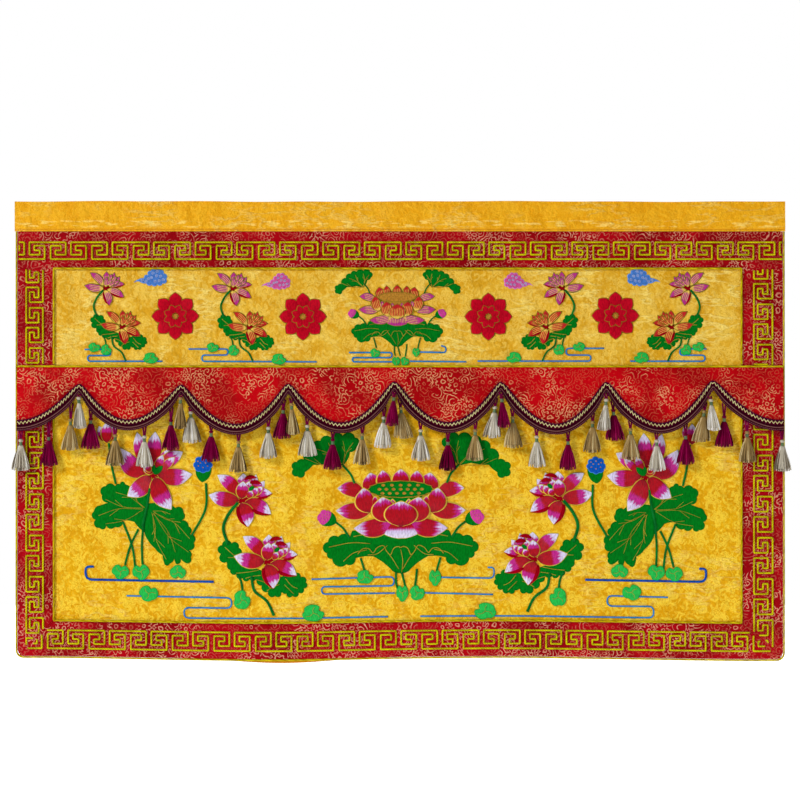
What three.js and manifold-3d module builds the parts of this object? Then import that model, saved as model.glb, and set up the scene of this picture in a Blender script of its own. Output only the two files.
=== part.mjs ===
// An altar frontal: a flat hanging of yellow and red brocade with a scalloped valance, a woven
// braid and a row of tassels. Millimetres, Z up, X along the width, the face towards -Y.
// The origin is the middle of the top edge, where the hanging is held.
import * as THREE from 'three'
import { mergeVertices } from 'three/addons/utils/BufferGeometryUtils.js'
import Module from 'manifold-3d'

const wasm = await Module()
wasm.setup()

// Thicknesses, and the gap that neighbouring pieces keep
const CLOTH = 2
const HEADING_CLOTH = 3
const LINING_CLOTH = 1.2
const GAP = 0.3
const LINING_GAP = 1.3

// Heights of the seams, down from the top edge
const HEADING_FOOT = -58.5
const PANEL_HEAD = -131
const SEAM = -322
const PANEL_FOOT = -820
const HEM = -892.5
const LINING_HEAD = -12
const LINING_FOOT = -890

// Places across the width
const HEADING_LEFT = -752.5
const HEADING_RIGHT = 751.5
const SIDE = 749
const PANEL_LEFT = -676
const PANEL_RIGHT = 666
const LINING_SIDE = 743

// The round bead of piping, and where its lower run starts behind the valance
const PIPING = 1.9
const PIPING_SIDES = 5
const HIDDEN_PIPING = -352
const CORNER = 12
const MITRE_TIP = 1

// How far the lining drops below the hem, and where
const LINING_DROP = 8.5
const DROP_MIDDLE = -225
const DROP_REACH = 130

// The slow waves in which the cloth hangs, in depth and along the hem
const WAVES = [
  { height: 2.2, length: 520, start: 0.6 },
  { height: 1.4, length: 310, start: 2.1 },
]
const HEM_SWAY = 3
const HEM_CREST = 195
const HEM_LENGTH = 935

// The heading's puckers along its lower stitching
const PUCKER = 0.8
const PUCKER_LENGTH = 47
const PUCKER_LEVEL = -45
const PUCKER_REACH = 10

// Widths of the mesh's cells on the sheets and on the valance
const CELL = 54
const HEADING_CELL = 36
const UPRIGHT_CELL = 170
const VALANCE_CELL = 17

// The valance: how it stands off the panel, and the creases at its two ends
const STAND = 5
const STAND_FALL = 12
const BELLY = 3
const VALANCE_DEPTH = 110
const SCALLOP_POWER = 1.9
const CUSP_ROUND = 0.12
const CREASES = [
  { x: -725, slope: 0.5, height: 2.4, reach: 14 },
  { x: -680, slope: 0.6, height: 1.6, reach: 12 },
  { x: 655, slope: 0.5, height: 1.8, reach: 12 },
  { x: 730, slope: -0.6, height: 2.6, reach: 14 },
]

// One row for each scallop: its lowest point, the cusp at its right-hand end, and its tassels, of
// which the first hangs so far along from the scallop's left-hand end
const SCALLOPS = [
  { low: -742, foot: -427, cusp: -624.6, peak: -357, tassels: 3, first: 8, pitch: 58 },
  { low: -530, foot: -426, cusp: -426.5, peak: -358, tassels: 4, first: 32, pitch: 63 },
  { low: -320, foot: -434, cusp: -218.1, peak: -356, tassels: 5, first: 24, pitch: 58 },
  { low: -115, foot: -431, cusp: -11.5, peak: -352, tassels: 4, first: 54, pitch: 61 },
  { low: 93, foot: -431, cusp: 195.9, peak: -353, tassels: 5, first: 14, pitch: 60.5 },
  { low: 304, foot: -434, cusp: 401, peak: -353, tassels: 4, first: 33, pitch: 65 },
  { low: 507, foot: -432, cusp: 608.6, peak: -350, tassels: 5, first: 17, pitch: 60 },
  { low: 736, foot: -426, cusp: 860, peak: -350, tassels: 3, first: 29, pitch: 65 },
]

// The braid
const BRAID = 21
const BRAID_CLOTH = 2.6
const BRAID_GAP = 0.8
const BRAID_OVER_CLOTH = 12
const CUSP_PINCH = 0.28
const PINCH_REACH = 14

// A tassel, from the top of its loop down
const LOOP = 16
const CUSP_LOOP = 6
const LOOP_BEHIND_BRAID = 4
const CUSP_BEHIND_BRAID = 1
const LOOP_THREAD = 1.1
const LOOP_SPREAD = 3
const CUSP_LOOP_SPREAD = 1.1
const KNOT = 6
const NECK = 6
const SKIRT = 51
const KNOT_RADIUS = 4
const NECK_RADIUS = 3.3
const HEAD_SIDES = 5
const SKIRT_SPREAD = 14.8
const SKIRT_DEPTH = 2.6
const CUSP_SLIM = 0.66
const LOCK_ROOT = 1.1
const LOCK_TIP = 4.6
const TASSEL_LIFT = 13
const CUSP_TASSEL_LIFT = 24
const CROWDING = 24
const PUSH = 0.5
const SWAY = 1.5
const WIDTH_CHANGE = 0.06

// Tassels by number from the left: loops longer than the others, and places further to the right
const LONGER = {
  1: 4, 2: 11, 3: 16, 7: 4, 8: 8, 10: -7, 11: -6, 15: 4, 19: 4, 26: 2, 31: 6, 35: 4, 38: 9, 39: 6,
  40: 6,
}
const ASIDE = { 7: -4, 13: 8, 15: 6, 33: -6, 34: -9, 35: -4, 36: -4, 37: -6, 39: -6 }

const COLOURS = {
  heading: 0xf2b92e,
  red: 0xb8061c,
  yellow: 0xecc43c,
  piping: 0x8f8a12,
  lining: 0xd99a1e,
  braid: 0x4d0c2e,
  silver: 0xd8cec0,
  maroon: 0x6a0c46,
  gold: 0xbba36c,
}

const frontal = new THREE.Group()

function addMesh(name, geometry, colour, roughness = 0.8) {
  const material = new THREE.MeshStandardMaterial({ color: COLOURS[colour], roughness, metalness: 0 })
  const mesh = new THREE.Mesh(geometry, material)
  mesh.name = name
  frontal.add(mesh)
}

// Puts a place on the flat cloth where it hangs; lift is its distance in front of the panels' back
function hang(x, z, lift) {
  const down = z / HEM
  let depth = 0
  for (const wave of WAVES) {
    depth += down * wave.height * Math.sin((2 * Math.PI * x) / wave.length + wave.start + down)
  }
  const sway = HEM_SWAY * Math.cos((2 * Math.PI * (x - HEM_CREST)) / HEM_LENGTH) * down ** 3
  return new THREE.Vector3(x, depth - lift, z + sway)
}

// The places across a sheet where its mesh has points: the same ones on all sheets, and both ends
function columnsOf(left, right, cell, extra = []) {
  const places = [left, right, ...extra]
  for (let x = Math.ceil(left / cell) * cell; x < right; x += cell) {
    if (places.every((place) => Math.abs(place - x) > 0.2 * cell)) places.push(x)
  }
  return places.sort((a, b) => a - b)
}

function closedGeometry(points, triangles) {
  const geometry = new THREE.BufferGeometry()
  geometry.setAttribute('position', new THREE.Float32BufferAttribute(points.flatMap((p) => p.toArray()), 3))
  geometry.setIndex(triangles)
  return geometry
}

// A closed sheet between the heights head(x) and foot(x), with its back lifted by lift(x, z)
function sheet(columns, rows, head, foot, lift, thickness) {
  const points = []
  const wide = columns.length
  for (const front of [0, thickness]) {
    for (let row = 0; row <= rows; row++) {
      for (const x of columns) {
        const z = THREE.MathUtils.lerp(head(x), foot(x), row / rows)
        points.push(hang(x, z, lift(x, z) + front))
      }
    }
  }
  const at = (side, row, column) => (side * (rows + 1) + row) * wide + column
  const triangles = []
  const quad = (a, b, c, d) => triangles.push(a, b, c, a, c, d)
  for (let row = 0; row < rows; row++) {
    for (let column = 0; column < wide - 1; column++) {
      const corners = [[row, column], [row + 1, column], [row + 1, column + 1], [row, column + 1]]
      quad(...corners.map(([r, c]) => at(1, r, c)))
      quad(...corners.reverse().map(([r, c]) => at(0, r, c)))
    }
  }
  for (let column = 0; column < wide - 1; column++) {
    quad(at(0, 0, column), at(1, 0, column), at(1, 0, column + 1), at(0, 0, column + 1))
    quad(at(1, rows, column), at(0, rows, column), at(0, rows, column + 1), at(1, rows, column + 1))
  }
  for (let row = 0; row < rows; row++) {
    quad(at(0, row, 0), at(0, row + 1, 0), at(1, row + 1, 0), at(1, row, 0))
    quad(at(1, row, wide - 1), at(1, row + 1, wide - 1), at(0, row + 1, wide - 1), at(0, row, wide - 1))
  }
  return closedGeometry(points, triangles)
}

const level = (z) => () => z
const flat = () => 0

// A round bead along a run of places on the cloth, its middle lifted by lift
function bead(places, lift) {
  const points = places.map(([x, z]) => hang(x, z, lift))
  return tubeAlong(points, PIPING, PIPING_SIDES)
}

// A closed tube with flat ends, its section kept square to the hanging's face at every corner
function tubeAlong(points, radius, sides) {
  const face = new THREE.Vector3(0, -1, 0)
  const ring = []
  points.forEach((point, i) => {
    const before = points[Math.max(i - 1, 0)]
    const after = points[Math.min(i + 1, points.length - 1)]
    const into = point.clone().sub(i ? before : point).normalize()
    const out = after.clone().sub(i < points.length - 1 ? point : before).normalize()
    const along = into.add(out).normalize()
    const across = new THREE.Vector3().crossVectors(face, along).normalize()
    const widen = 1 / Math.max(0.5, Math.abs(out.dot(along)))
    for (let k = 0; k < sides; k++) {
      const turn = (2 * Math.PI * k) / sides
      const offset = across.clone().multiplyScalar(radius * Math.cos(turn) * widen)
      offset.addScaledVector(face, radius * Math.sin(turn))
      ring.push(point.clone().add(offset))
    }
  })
  const triangles = []
  for (let i = 0; i < points.length - 1; i++) {
    for (let k = 0; k < sides; k++) {
      const next = (k + 1) % sides
      const [a, b, c, d] = [i * sides + k, i * sides + next, (i + 1) * sides + next, (i + 1) * sides + k]
      triangles.push(a, b, c, a, c, d)
    }
  }
  const last = (points.length - 1) * sides
  for (let k = 1; k < sides - 1; k++) {
    triangles.push(0, k + 1, k, last, last + k, last + k + 1)
  }
  return closedGeometry(ring, triangles)
}

// The straight run of a bead up to its last place: a level one has a point wherever the sheets do
function run([x0, z0], [x1, z1]) {
  if (z0 === z1) {
    return columnsOf(Math.min(x0, x1), Math.max(x0, x1), CELL).slice(0, -1).map((x) => [x, z0])
  }
  const steps = Math.max(1, Math.round(Math.hypot(x1 - x0, z1 - z0) / UPRIGHT_CELL))
  const places = []
  for (let i = 0; i < steps; i++) {
    places.push([x0 + ((x1 - x0) * i) / steps, z0 + ((z1 - z0) * i) / steps])
  }
  return places
}

function beadRun(...stops) {
  const places = []
  for (let i = 1; i < stops.length; i++) places.push(...run(stops[i - 1], stops[i]))
  places.push(stops[stops.length - 1])
  return places
}

// Heading, borders and panels
const facePiping = CLOTH + GAP + PIPING
const edge = SIDE - PIPING - GAP
const hemEdge = HEM + PIPING + GAP

function pucker(x, z) {
  const near = Math.exp(-(((z - PUCKER_LEVEL) / PUCKER_REACH) ** 2))
  return PUCKER * near * (0.6 + 0.4 * Math.sin((2 * Math.PI * x) / PUCKER_LENGTH))
}

addMesh('heading_band', sheet(columnsOf(HEADING_LEFT, HEADING_RIGHT, HEADING_CELL), 3,
  level(0), level(HEADING_FOOT), pucker, HEADING_CLOTH), 'heading')

addMesh('top_border', sheet(columnsOf(-edge, edge, CELL), 1,
  level(HEADING_FOOT - GAP), level(PANEL_HEAD + GAP / 2), flat, CLOTH), 'red')

const upperHead = level(PANEL_HEAD - GAP / 2)
const upperFoot = level(SEAM + GAP / 2)
addMesh('upper_border_left', sheet(columnsOf(-edge, PANEL_LEFT - GAP / 2, CELL), 3,
  upperHead, upperFoot, flat, CLOTH), 'red')
addMesh('upper_panel', sheet(columnsOf(PANEL_LEFT + GAP / 2, PANEL_RIGHT - GAP / 2, CELL), 3,
  upperHead, upperFoot, flat, CLOTH), 'yellow')
addMesh('upper_border_right', sheet(columnsOf(PANEL_RIGHT + GAP / 2, edge, CELL), 3,
  upperHead, upperFoot, flat, CLOTH), 'red')

const lowerHead = level(SEAM - GAP / 2)
addMesh('lower_panel', sheet(columnsOf(PANEL_LEFT + GAP / 2, PANEL_RIGHT - GAP / 2, CELL), 4,
  lowerHead, level(PANEL_FOOT + GAP / 2), flat, CLOTH), 'yellow')

// The rounded outer corner, and the mitre from there to the panel's corner
const cornerTip = CORNER * (1 - Math.SQRT1_2)

function roundedHem(x) {
  const inward = Math.max(0, CORNER - (edge - Math.abs(x)))
  return hemEdge + CORNER - Math.sqrt(Math.max(0, CORNER ** 2 - inward ** 2))
}

function mitre(x) {
  const panelSide = x < 0 ? PANEL_LEFT : PANEL_RIGHT
  const tip = edge - cornerTip
  const share = (Math.abs(x) - Math.abs(panelSide)) / (tip - Math.abs(panelSide))
  return THREE.MathUtils.lerp(PANEL_FOOT, hemEdge + cornerTip, THREE.MathUtils.clamp(share, 0, 1))
}

const sideFoot = (x) => (Math.abs(x) > edge - cornerTip ? roundedHem(x) : mitre(x)) + GAP
const outerColumns = [edge, edge - cornerTip / 4, edge - cornerTip]
addMesh('lower_border_left', sheet(
  columnsOf(-edge, PANEL_LEFT - GAP / 2, CELL, outerColumns.slice(1).map((x) => -x)), 6,
  lowerHead, sideFoot, flat, CLOTH), 'red')
addMesh('lower_border_right', sheet(
  columnsOf(PANEL_RIGHT + GAP / 2, edge, CELL, outerColumns.slice(1)), 6,
  lowerHead, sideFoot, flat, CLOTH), 'red')

const hemEnd = edge - cornerTip - MITRE_TIP
const hemTurn = edge - CORNER
addMesh('bottom_border', sheet(
  columnsOf(-hemEnd, hemEnd, CELL, [-hemTurn, hemTurn, PANEL_LEFT, PANEL_RIGHT]), 2,
  (x) => mitre(x) - GAP / 2, roundedHem, flat, CLOTH), 'red')

// Lining
function liningFoot(x) {
  return LINING_FOOT - LINING_DROP * Math.exp(-(((x - DROP_MIDDLE) / DROP_REACH) ** 2))
}
addMesh('lining', sheet(columnsOf(-LINING_SIDE, LINING_SIDE, CELL), 4,
  level(LINING_HEAD), liningFoot, () => -LINING_GAP - LINING_CLOTH, LINING_CLOTH), 'lining')

// Piping
const seamPiping = beadRun([-edge, SEAM], [edge, SEAM])
addMesh('seam_piping', bead(seamPiping, facePiping), 'piping', 0.5)

const besideSeam = SEAM + 2 * PIPING + GAP
addMesh('upper_panel_piping', bead(beadRun([PANEL_LEFT, besideSeam], [PANEL_LEFT, PANEL_HEAD],
  [PANEL_RIGHT, PANEL_HEAD], [PANEL_RIGHT, besideSeam]), facePiping), 'piping', 0.5)
addMesh('lower_panel_piping', bead(beadRun([PANEL_LEFT, HIDDEN_PIPING], [PANEL_LEFT, PANEL_FOOT],
  [PANEL_RIGHT, PANEL_FOOT], [PANEL_RIGHT, HIDDEN_PIPING]), facePiping), 'piping', 0.5)

function hemCorner(side) {
  const turns = [0, 1, 2, 3].map((step) => (Math.PI / 6) * step)
  const radius = CORNER + PIPING
  return turns.map((turn) => [
    side * (SIDE - radius + radius * Math.cos(turn)),
    HEM + radius - radius * Math.sin(turn),
  ])
}
const leftCorner = hemCorner(-1)
const rightCorner = hemCorner(1).reverse()
const outerRun = [
  ...run([-SIDE, HEADING_FOOT - GAP], leftCorner[0]), ...leftCorner.slice(0, -1),
  ...run(leftCorner[3], rightCorner[0]), ...rightCorner.slice(0, -1),
  ...run(rightCorner[3], [SIDE, HEADING_FOOT - GAP]), [SIDE, HEADING_FOOT - GAP],
]
addMesh('outer_piping', bead(outerRun, CLOTH / 2), 'piping', 0.5)

// Valance: the height of the braid's upper edge, which swings up from each low point to its cusps
function swing(share) {
  const reach = Math.hypot(1, CUSP_ROUND) - CUSP_ROUND
  return 1 - (Math.hypot(1 - share ** SCALLOP_POWER, CUSP_ROUND) - CUSP_ROUND) / reach
}

function braidHead(x) {
  const i = SCALLOPS.findIndex((scallop) => x <= scallop.cusp)
  const { low, foot, cusp, peak } = SCALLOPS[i]
  const before = i > 0 ? SCALLOPS[i - 1] : { cusp: low - (cusp - low), peak }
  const rising = x > low
  const share = rising ? (x - low) / (cusp - low) : (low - x) / (low - before.cusp)
  return foot + ((rising ? peak : before.peak) - foot) * swing(share)
}

// The braid is drawn together where it turns at a cusp
function braidWidth(x) {
  const near = ({ cusp }) => Math.exp(-(((x - cusp) / PINCH_REACH) ** 2))
  return BRAID * (1 - CUSP_PINCH * Math.max(...SCALLOPS.map(near)))
}

// The braid's lower edge lies the braid's width away from the nearest place on its upper edge
const EDGE_STEP = 3
const HALVINGS = 18
const edgePlaces = []
for (let x = -SIDE - BRAID; x <= SIDE + BRAID; x += EDGE_STEP) edgePlaces.push([x, braidHead(x)])

function braidFoot(x) {
  const away = (z) => Math.min(...edgePlaces.map(([ex, ez]) => Math.hypot(ex - x, ez - z)))
  const width = braidWidth(x)
  let near = braidHead(x)
  let far = near - 3 * BRAID
  for (let i = 0; i < HALVINGS; i++) {
    const middle = (near + far) / 2
    if (away(middle) < width) near = middle
    else far = middle
  }
  return far
}

const seamUnder = SEAM - PIPING - GAP

function valanceLift(x, z) {
  const below = Math.max(0, seamUnder - z)
  let lift = CLOTH + GAP + STAND * (1 - Math.exp(-below / STAND_FALL)) + (BELLY * below) / VALANCE_DEPTH
  const fade = Math.sin(Math.PI * Math.min(1, below / (seamUnder - braidHead(x))))
  for (const crease of CREASES) {
    const off = (x - crease.x - crease.slope * below) / crease.reach
    lift += crease.height * Math.exp(-off * off) * fade
  }
  return lift
}

const cusps = SCALLOPS.slice(0, -1).map(({ cusp }) => cusp)
const valanceColumns = columnsOf(-edge, edge, VALANCE_CELL, cusps)
addMesh('valance', sheet(valanceColumns, 2, level(seamUnder),
  (x) => braidHead(x) - BRAID_OVER_CLOTH, valanceLift, CLOTH), 'red')

const braidLift = (x, z) => valanceLift(x, z) + CLOTH + BRAID_GAP
addMesh('braid', sheet(valanceColumns, 1, braidHead, braidFoot, braidLift, BRAID_CLOTH), 'braid')

// Tassels
function solidOf(geometry) {
  for (const name of ['normal', 'uv']) geometry.deleteAttribute(name)
  const merged = mergeVertices(geometry, 1e-4)
  return new wasm.Manifold(new wasm.Mesh({
    numProp: 3,
    vertProperties: new Float32Array(merged.attributes.position.array),
    triVerts: new Uint32Array(merged.index.array),
  }))
}

// One strand of three sides from its root to its tip, with its ridge turned to the front or back
function strand(root, tip, rootRadius, tipRadius, ridge) {
  const corners = [0, 1, 2].map((k) => (ridge * Math.PI) / 2 + (2 * Math.PI * k) / 3)
  const points = []
  for (const [end, radius] of [[root, rootRadius], [tip, tipRadius]]) {
    for (const turn of corners) {
      points.push(new THREE.Vector3(end.x + radius * Math.cos(turn), end.y + radius * Math.sin(turn), end.z))
    }
  }
  const ends = [0, 1, 2, 3, 5, 4]
  const sides = [0, 3, 4, 0, 4, 1, 1, 4, 5, 1, 5, 2, 2, 5, 3, 2, 3, 0]
  return solidOf(closedGeometry(points, [...ends, ...sides]))
}

// A tassel with the top of its loop at the origin: knot and neck, two legs of loop, five locks.
// spread is half the distance between the legs at the top, and slim narrows the skirt.
function tasselSolid(loop, spread, slim) {
  const neckTop = -loop - KNOT
  const skirtTop = neckTop - NECK
  const profile = [
    [0, -loop], [KNOT_RADIUS, -loop - KNOT / 3], [KNOT_RADIUS, neckTop + KNOT / 4],
    [NECK_RADIUS, neckTop], [NECK_RADIUS, skirtTop - 2], [0, skirtTop - 4],
  ]
  const outline = profile.map(([radius, z]) => new THREE.Vector2(radius, z)).reverse()
  const head = new THREE.LatheGeometry(outline, HEAD_SIDES).rotateX(Math.PI / 2)
  let tassel = solidOf(head)
  for (const side of [-1, 1]) {
    const leg = strand(new THREE.Vector3(side * spread, 0, 0),
      new THREE.Vector3(side * 0.6, 0, -loop - KNOT / 2), LOOP_THREAD, 0.8 * LOOP_THREAD, -1)
    tassel = tassel.add(leg)
  }
  const rows = [{ ridge: -1, places: [-1, 0, 1] }, { ridge: 1, places: [-0.5, 0.5] }]
  for (const { ridge, places } of rows) {
    for (const place of places) {
      const root = new THREE.Vector3(place * NECK_RADIUS * 0.55, ridge * 0.9, skirtTop + 1)
      const tip = new THREE.Vector3(place * SKIRT_SPREAD * slim, ridge * SKIRT_DEPTH, skirtTop - SKIRT)
      tassel = tassel.add(strand(root, tip, LOCK_ROOT, LOCK_TIP * (0.4 + 0.6 * slim), ridge))
    }
  }
  return tassel
}

// A tassel hung at its place, leaning sideways and forwards as it goes down
function hungTassel(solid, loop, place, lean, forward, width) {
  const { vertProperties, triVerts } = solid.getMesh()
  const below = KNOT + NECK + SKIRT
  const points = []
  for (let i = 0; i < vertProperties.length; i += 3) {
    const [x, y, z] = vertProperties.slice(i, i + 3)
    const down = Math.max(0, (-z - loop) / below)
    const spread = 1 + (width - 1) * down
    const hung = new THREE.Vector3(x * spread + lean * down, y - forward * down, z)
    points.push(hung.add(place))
  }
  return closedGeometry(points, Array.from(triVerts))
}

function alongEdge(from, distance) {
  const step = 0.5
  let x = from
  let gone = 0
  while (gone < distance && x < edge) {
    gone += Math.hypot(step, braidHead(x + step) - braidHead(x))
    x += step
  }
  return x
}

const hangingPlaces = []
SCALLOPS.forEach(({ tassels, first, pitch, cusp }, i) => {
  const start = i > 0 ? SCALLOPS[i - 1].cusp : -edge
  for (let k = 0; k < tassels; k++) {
    hangingPlaces.push({ x: alongEdge(start, first + k * pitch), atCusp: false })
  }
  if (cusp < edge) hangingPlaces.push({ x: cusp, atCusp: true })
})
for (const [number, aside] of Object.entries(ASIDE)) hangingPlaces[number - 1].x += aside

const crowding = (a, b) => (a && b ? Math.max(0, CROWDING - Math.abs(a.x - b.x)) * PUSH : 0)
const threads = ['silver', 'maroon', 'gold']

hangingPlaces.forEach((spot, i) => {
  const { x, atCusp } = spot
  const z = braidFoot(x) + (atCusp ? CUSP_BEHIND_BRAID : LOOP_BEHIND_BRAID)
  const lift = braidLift(x, z) - LOOP_THREAD - 2 * GAP
  const place = hang(x, z, lift)
  const squeezed = crowding(hangingPlaces[i - 1], spot) - crowding(spot, hangingPlaces[i + 1])
  const lean = squeezed + (atCusp ? 0 : SWAY * Math.sin(7.3 * i))
  const forward = (atCusp ? CUSP_TASSEL_LIFT : TASSEL_LIFT) - lift
  const width = 1 + WIDTH_CHANGE * Math.sin(5.1 * i)
  const loop = (atCusp ? CUSP_LOOP : LOOP) + (LONGER[i + 1] ?? 0)
  const solid = atCusp
    ? tasselSolid(loop, CUSP_LOOP_SPREAD, CUSP_SLIM)
    : tasselSolid(loop, LOOP_SPREAD, 1)
  const name = `tassel_${String(i + 1).padStart(2, '0')}`
  addMesh(name, hungTassel(solid, loop, place, lean, forward, width), threads[i % threads.length])
})

export default frontal
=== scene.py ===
import math
import random
from collections import namedtuple

import bpy
import numpy as np
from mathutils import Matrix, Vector
from mathutils.geometry import delaunay_2d_cdt


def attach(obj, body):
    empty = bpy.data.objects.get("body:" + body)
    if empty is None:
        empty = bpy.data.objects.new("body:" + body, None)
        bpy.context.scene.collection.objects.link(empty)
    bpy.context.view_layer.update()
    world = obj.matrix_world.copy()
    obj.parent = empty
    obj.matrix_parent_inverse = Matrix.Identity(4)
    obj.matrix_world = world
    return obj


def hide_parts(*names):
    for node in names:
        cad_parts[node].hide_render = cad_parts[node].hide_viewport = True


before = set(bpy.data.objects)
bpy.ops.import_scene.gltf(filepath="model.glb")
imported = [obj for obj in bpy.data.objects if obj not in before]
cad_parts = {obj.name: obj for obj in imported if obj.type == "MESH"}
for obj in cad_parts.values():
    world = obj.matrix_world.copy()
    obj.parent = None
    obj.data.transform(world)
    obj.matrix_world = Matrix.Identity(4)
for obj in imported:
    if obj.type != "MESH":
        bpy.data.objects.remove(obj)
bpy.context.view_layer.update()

# The lining
# One length of plain orange-yellow cotton that backs the whole hanging. It is tucked behind the
# heading and drops a little below the hem left of the middle, where it shows from the front.

HEM = -0.8925
WAVES = ((0.0022, 0.52, 0.6), (0.0014, 0.31, 2.1))
HEM_SWAY = 0.003
HEM_CREST = 0.195
HEM_LENGTH = 0.935
CLOTH = 0.002


def hang(x, z, lift):
    """Where a place on the flat cloth hangs; lift is its distance in front of the panels' back."""
    down = z / HEM
    depth = 0.0
    for height, length, start in WAVES:
        depth = depth + down * height * np.sin(2 * math.pi * x / length + start + down)
    sway = HEM_SWAY * np.cos(2 * math.pi * (x - HEM_CREST) / HEM_LENGTH) * down**3
    return np.stack(np.broadcast_arrays(x, depth - lift, z + sway), axis=-1)


def deselect():
    bpy.ops.object.select_all(action="DESELECT")


def lay_cloth(name, across, down, place, thickness, marks=None):
    """A sheet from a grid: place(u, v) gives the flat x and z and the lift of the sheet's face, and
    marks(u, v) a place in its weave."""
    deselect()
    bpy.ops.mesh.primitive_grid_add(x_subdivisions=across, y_subdivisions=down, size=1)
    piece = bpy.context.object
    piece.name = piece.data.name = name
    flat = np.empty(3 * len(piece.data.vertices))
    piece.data.vertices.foreach_get("co", flat)
    flat = flat.reshape(-1, 3)
    u, v = flat[:, 0] + 0.5, 0.5 - flat[:, 1]
    x, z, lift = place(u, v)
    piece.data.vertices.foreach_set("co", hang(x, z, lift).ravel())
    if marks:
        woven_in = piece.data.attributes.new("marks", "FLOAT_VECTOR", "POINT")
        woven_in.data.foreach_set("vector", marks(u, v).ravel())
    wall = piece.modifiers.new("thickness", "SOLIDIFY")
    wall.thickness = thickness
    wall.offset = -1
    bpy.ops.object.modifier_apply(modifier=wall.name)
    bpy.ops.object.shade_smooth_by_angle(angle=math.radians(50))
    return piece


def tone(red, green, blue):
    """A dye's colour, given as it looks on a screen, as the shader wants it."""
    parts = [c / 255 for c in (red, green, blue)]
    return [c / 12.92 if c <= 0.04045 else ((c + 0.055) / 1.055) ** 2.4 for c in parts] + [1]


def new_finish(name, roughness=0.6, sheen=0.0, specular=0.3, gloss=(1, 1, 1, 1)):
    """A finish to be coloured, its gloss tinted as on dyed silk and rayon."""
    finish = bpy.data.materials.new(name)
    finish.use_nodes = True
    shader = finish.node_tree.nodes["Principled BSDF"]
    shader.inputs["Roughness"].default_value = roughness
    shader.inputs["Sheen Weight"].default_value = sheen
    shader.inputs["Sheen Tint"].default_value = gloss
    shader.inputs["Specular IOR Level"].default_value = specular
    shader.inputs["Specular Tint"].default_value = gloss
    return finish.node_tree, shader, finish


def add(tree, kind, joins, **settings):
    """Adds a node, sets it, and gives its inputs sockets or values by name or number."""
    node = tree.nodes.new("ShaderNode" + kind)
    for key, value in settings.items():
        setattr(node, key, value)
    for key, value in joins.items():
        if isinstance(value, bpy.types.NodeSocket):
            tree.links.new(value, node.inputs[key])
        else:
            node.inputs[key].default_value = value
    return node


def reckon(tree, operation, *values, clamp=False):
    joins = dict(enumerate(values))
    return add(tree, "Math", joins, operation=operation, use_clamp=clamp).outputs[0]


def blend(tree, share, first, second):
    joins = {"Fac": share, "Color1": first, "Color2": second}
    return add(tree, "MixRGB", joins).outputs[0]


def step(tree, value, start, end):
    """0 below start, 1 above end, and a soft step between."""
    joins = {"Value": value, "From Min": start, "From Max": end}
    return add(tree, "MapRange", joins, interpolation_type="SMOOTHSTEP").outputs[0]


def cloth_places(tree):
    """The place on the hanging's face, with its width as x and its height as y."""
    where = add(tree, "TexCoord", {}).outputs["Object"]
    quarter = (-math.pi / 2, 0, 0)
    return add(tree, "Mapping", {"Vector": where, "Rotation": quarter}).outputs[0]


def mottle(tree, places, scale, detail=2.0, rough=0.5):
    joins = {"Vector": places, "Scale": scale, "Detail": detail, "Roughness": rough}
    return add(tree, "TexNoise", joins, noise_dimensions="2D").outputs[0]


def threads(tree, places, pitch, along):
    """The ridges of a plain weave's threads, in one direction, from 0 to 1."""
    joins = {"Vector": places, "Scale": 0.5 * math.pi / (10 * pitch)}
    return add(tree, "TexWave", joins, bands_direction=along).outputs["Fac"]


def emboss(tree, shader, heights, depth):
    joins = {"Height": heights, "Distance": depth, "Strength": 0.9}
    bumps = add(tree, "Bump", joins)
    tree.links.new(bumps.outputs[0], shader.inputs["Normal"])


def weave_of(tree, places, pitch):
    warp = threads(tree, places, pitch, "X")
    weft = threads(tree, places, pitch, "Y")
    return reckon(tree, "MULTIPLY", reckon(tree, "ADD", warp, weft), 0.5)


LINING_SIDE = 0.743
LINING_HEAD = -0.012
LINING_FOOT = -0.89
LINING_DROP = 0.0085
DROP_MIDDLE = -0.225
DROP_REACH = 0.13
LINING_CLOTH = 0.0012
LINING_LIFT = -0.0013


def lining_place(u, v):
    x = LINING_SIDE * (2 * u - 1)
    foot = LINING_FOOT - LINING_DROP * np.exp(-(((x - DROP_MIDDLE) / DROP_REACH) ** 2))
    return x, LINING_HEAD + (foot - LINING_HEAD) * v, LINING_LIFT + 0 * x


lining = lay_cloth("lining_cloth", 150, 60, lining_place, LINING_CLOTH)
tree, shader, cotton = new_finish("lining cotton", roughness=0.8, specular=0.15, gloss=tone(255, 200, 80))
places = cloth_places(tree)
weave = weave_of(tree, places, 0.0009)
worn = step(tree, mottle(tree, places, 9), 0.35, 0.7)
dyed = blend(tree, worn, tone(214, 140, 18), tone(232, 160, 34))
tree.links.new(blend(tree, weave, tone(190, 118, 10), dyed), shader.inputs["Base Color"])
emboss(tree, shader, reckon(tree, "ADD", weave, reckon(tree, "MULTIPLY", worn, 4.0)), 0.0003)
lining.data.materials.append(cotton)
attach(lining, "root")
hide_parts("lining")


# The two panels
# Yellow satin damask, its blossoms and scrolls woven in the same yellow but showing paler, cut to
# the width between the side borders. The upper one is short and the lower one is the main field.

PANEL_LEFT = -0.676
PANEL_RIGHT = 0.666
PANEL_HEAD = -0.131
SEAM = -0.322
PANEL_FOOT = -0.82
GAP = 0.0003

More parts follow.
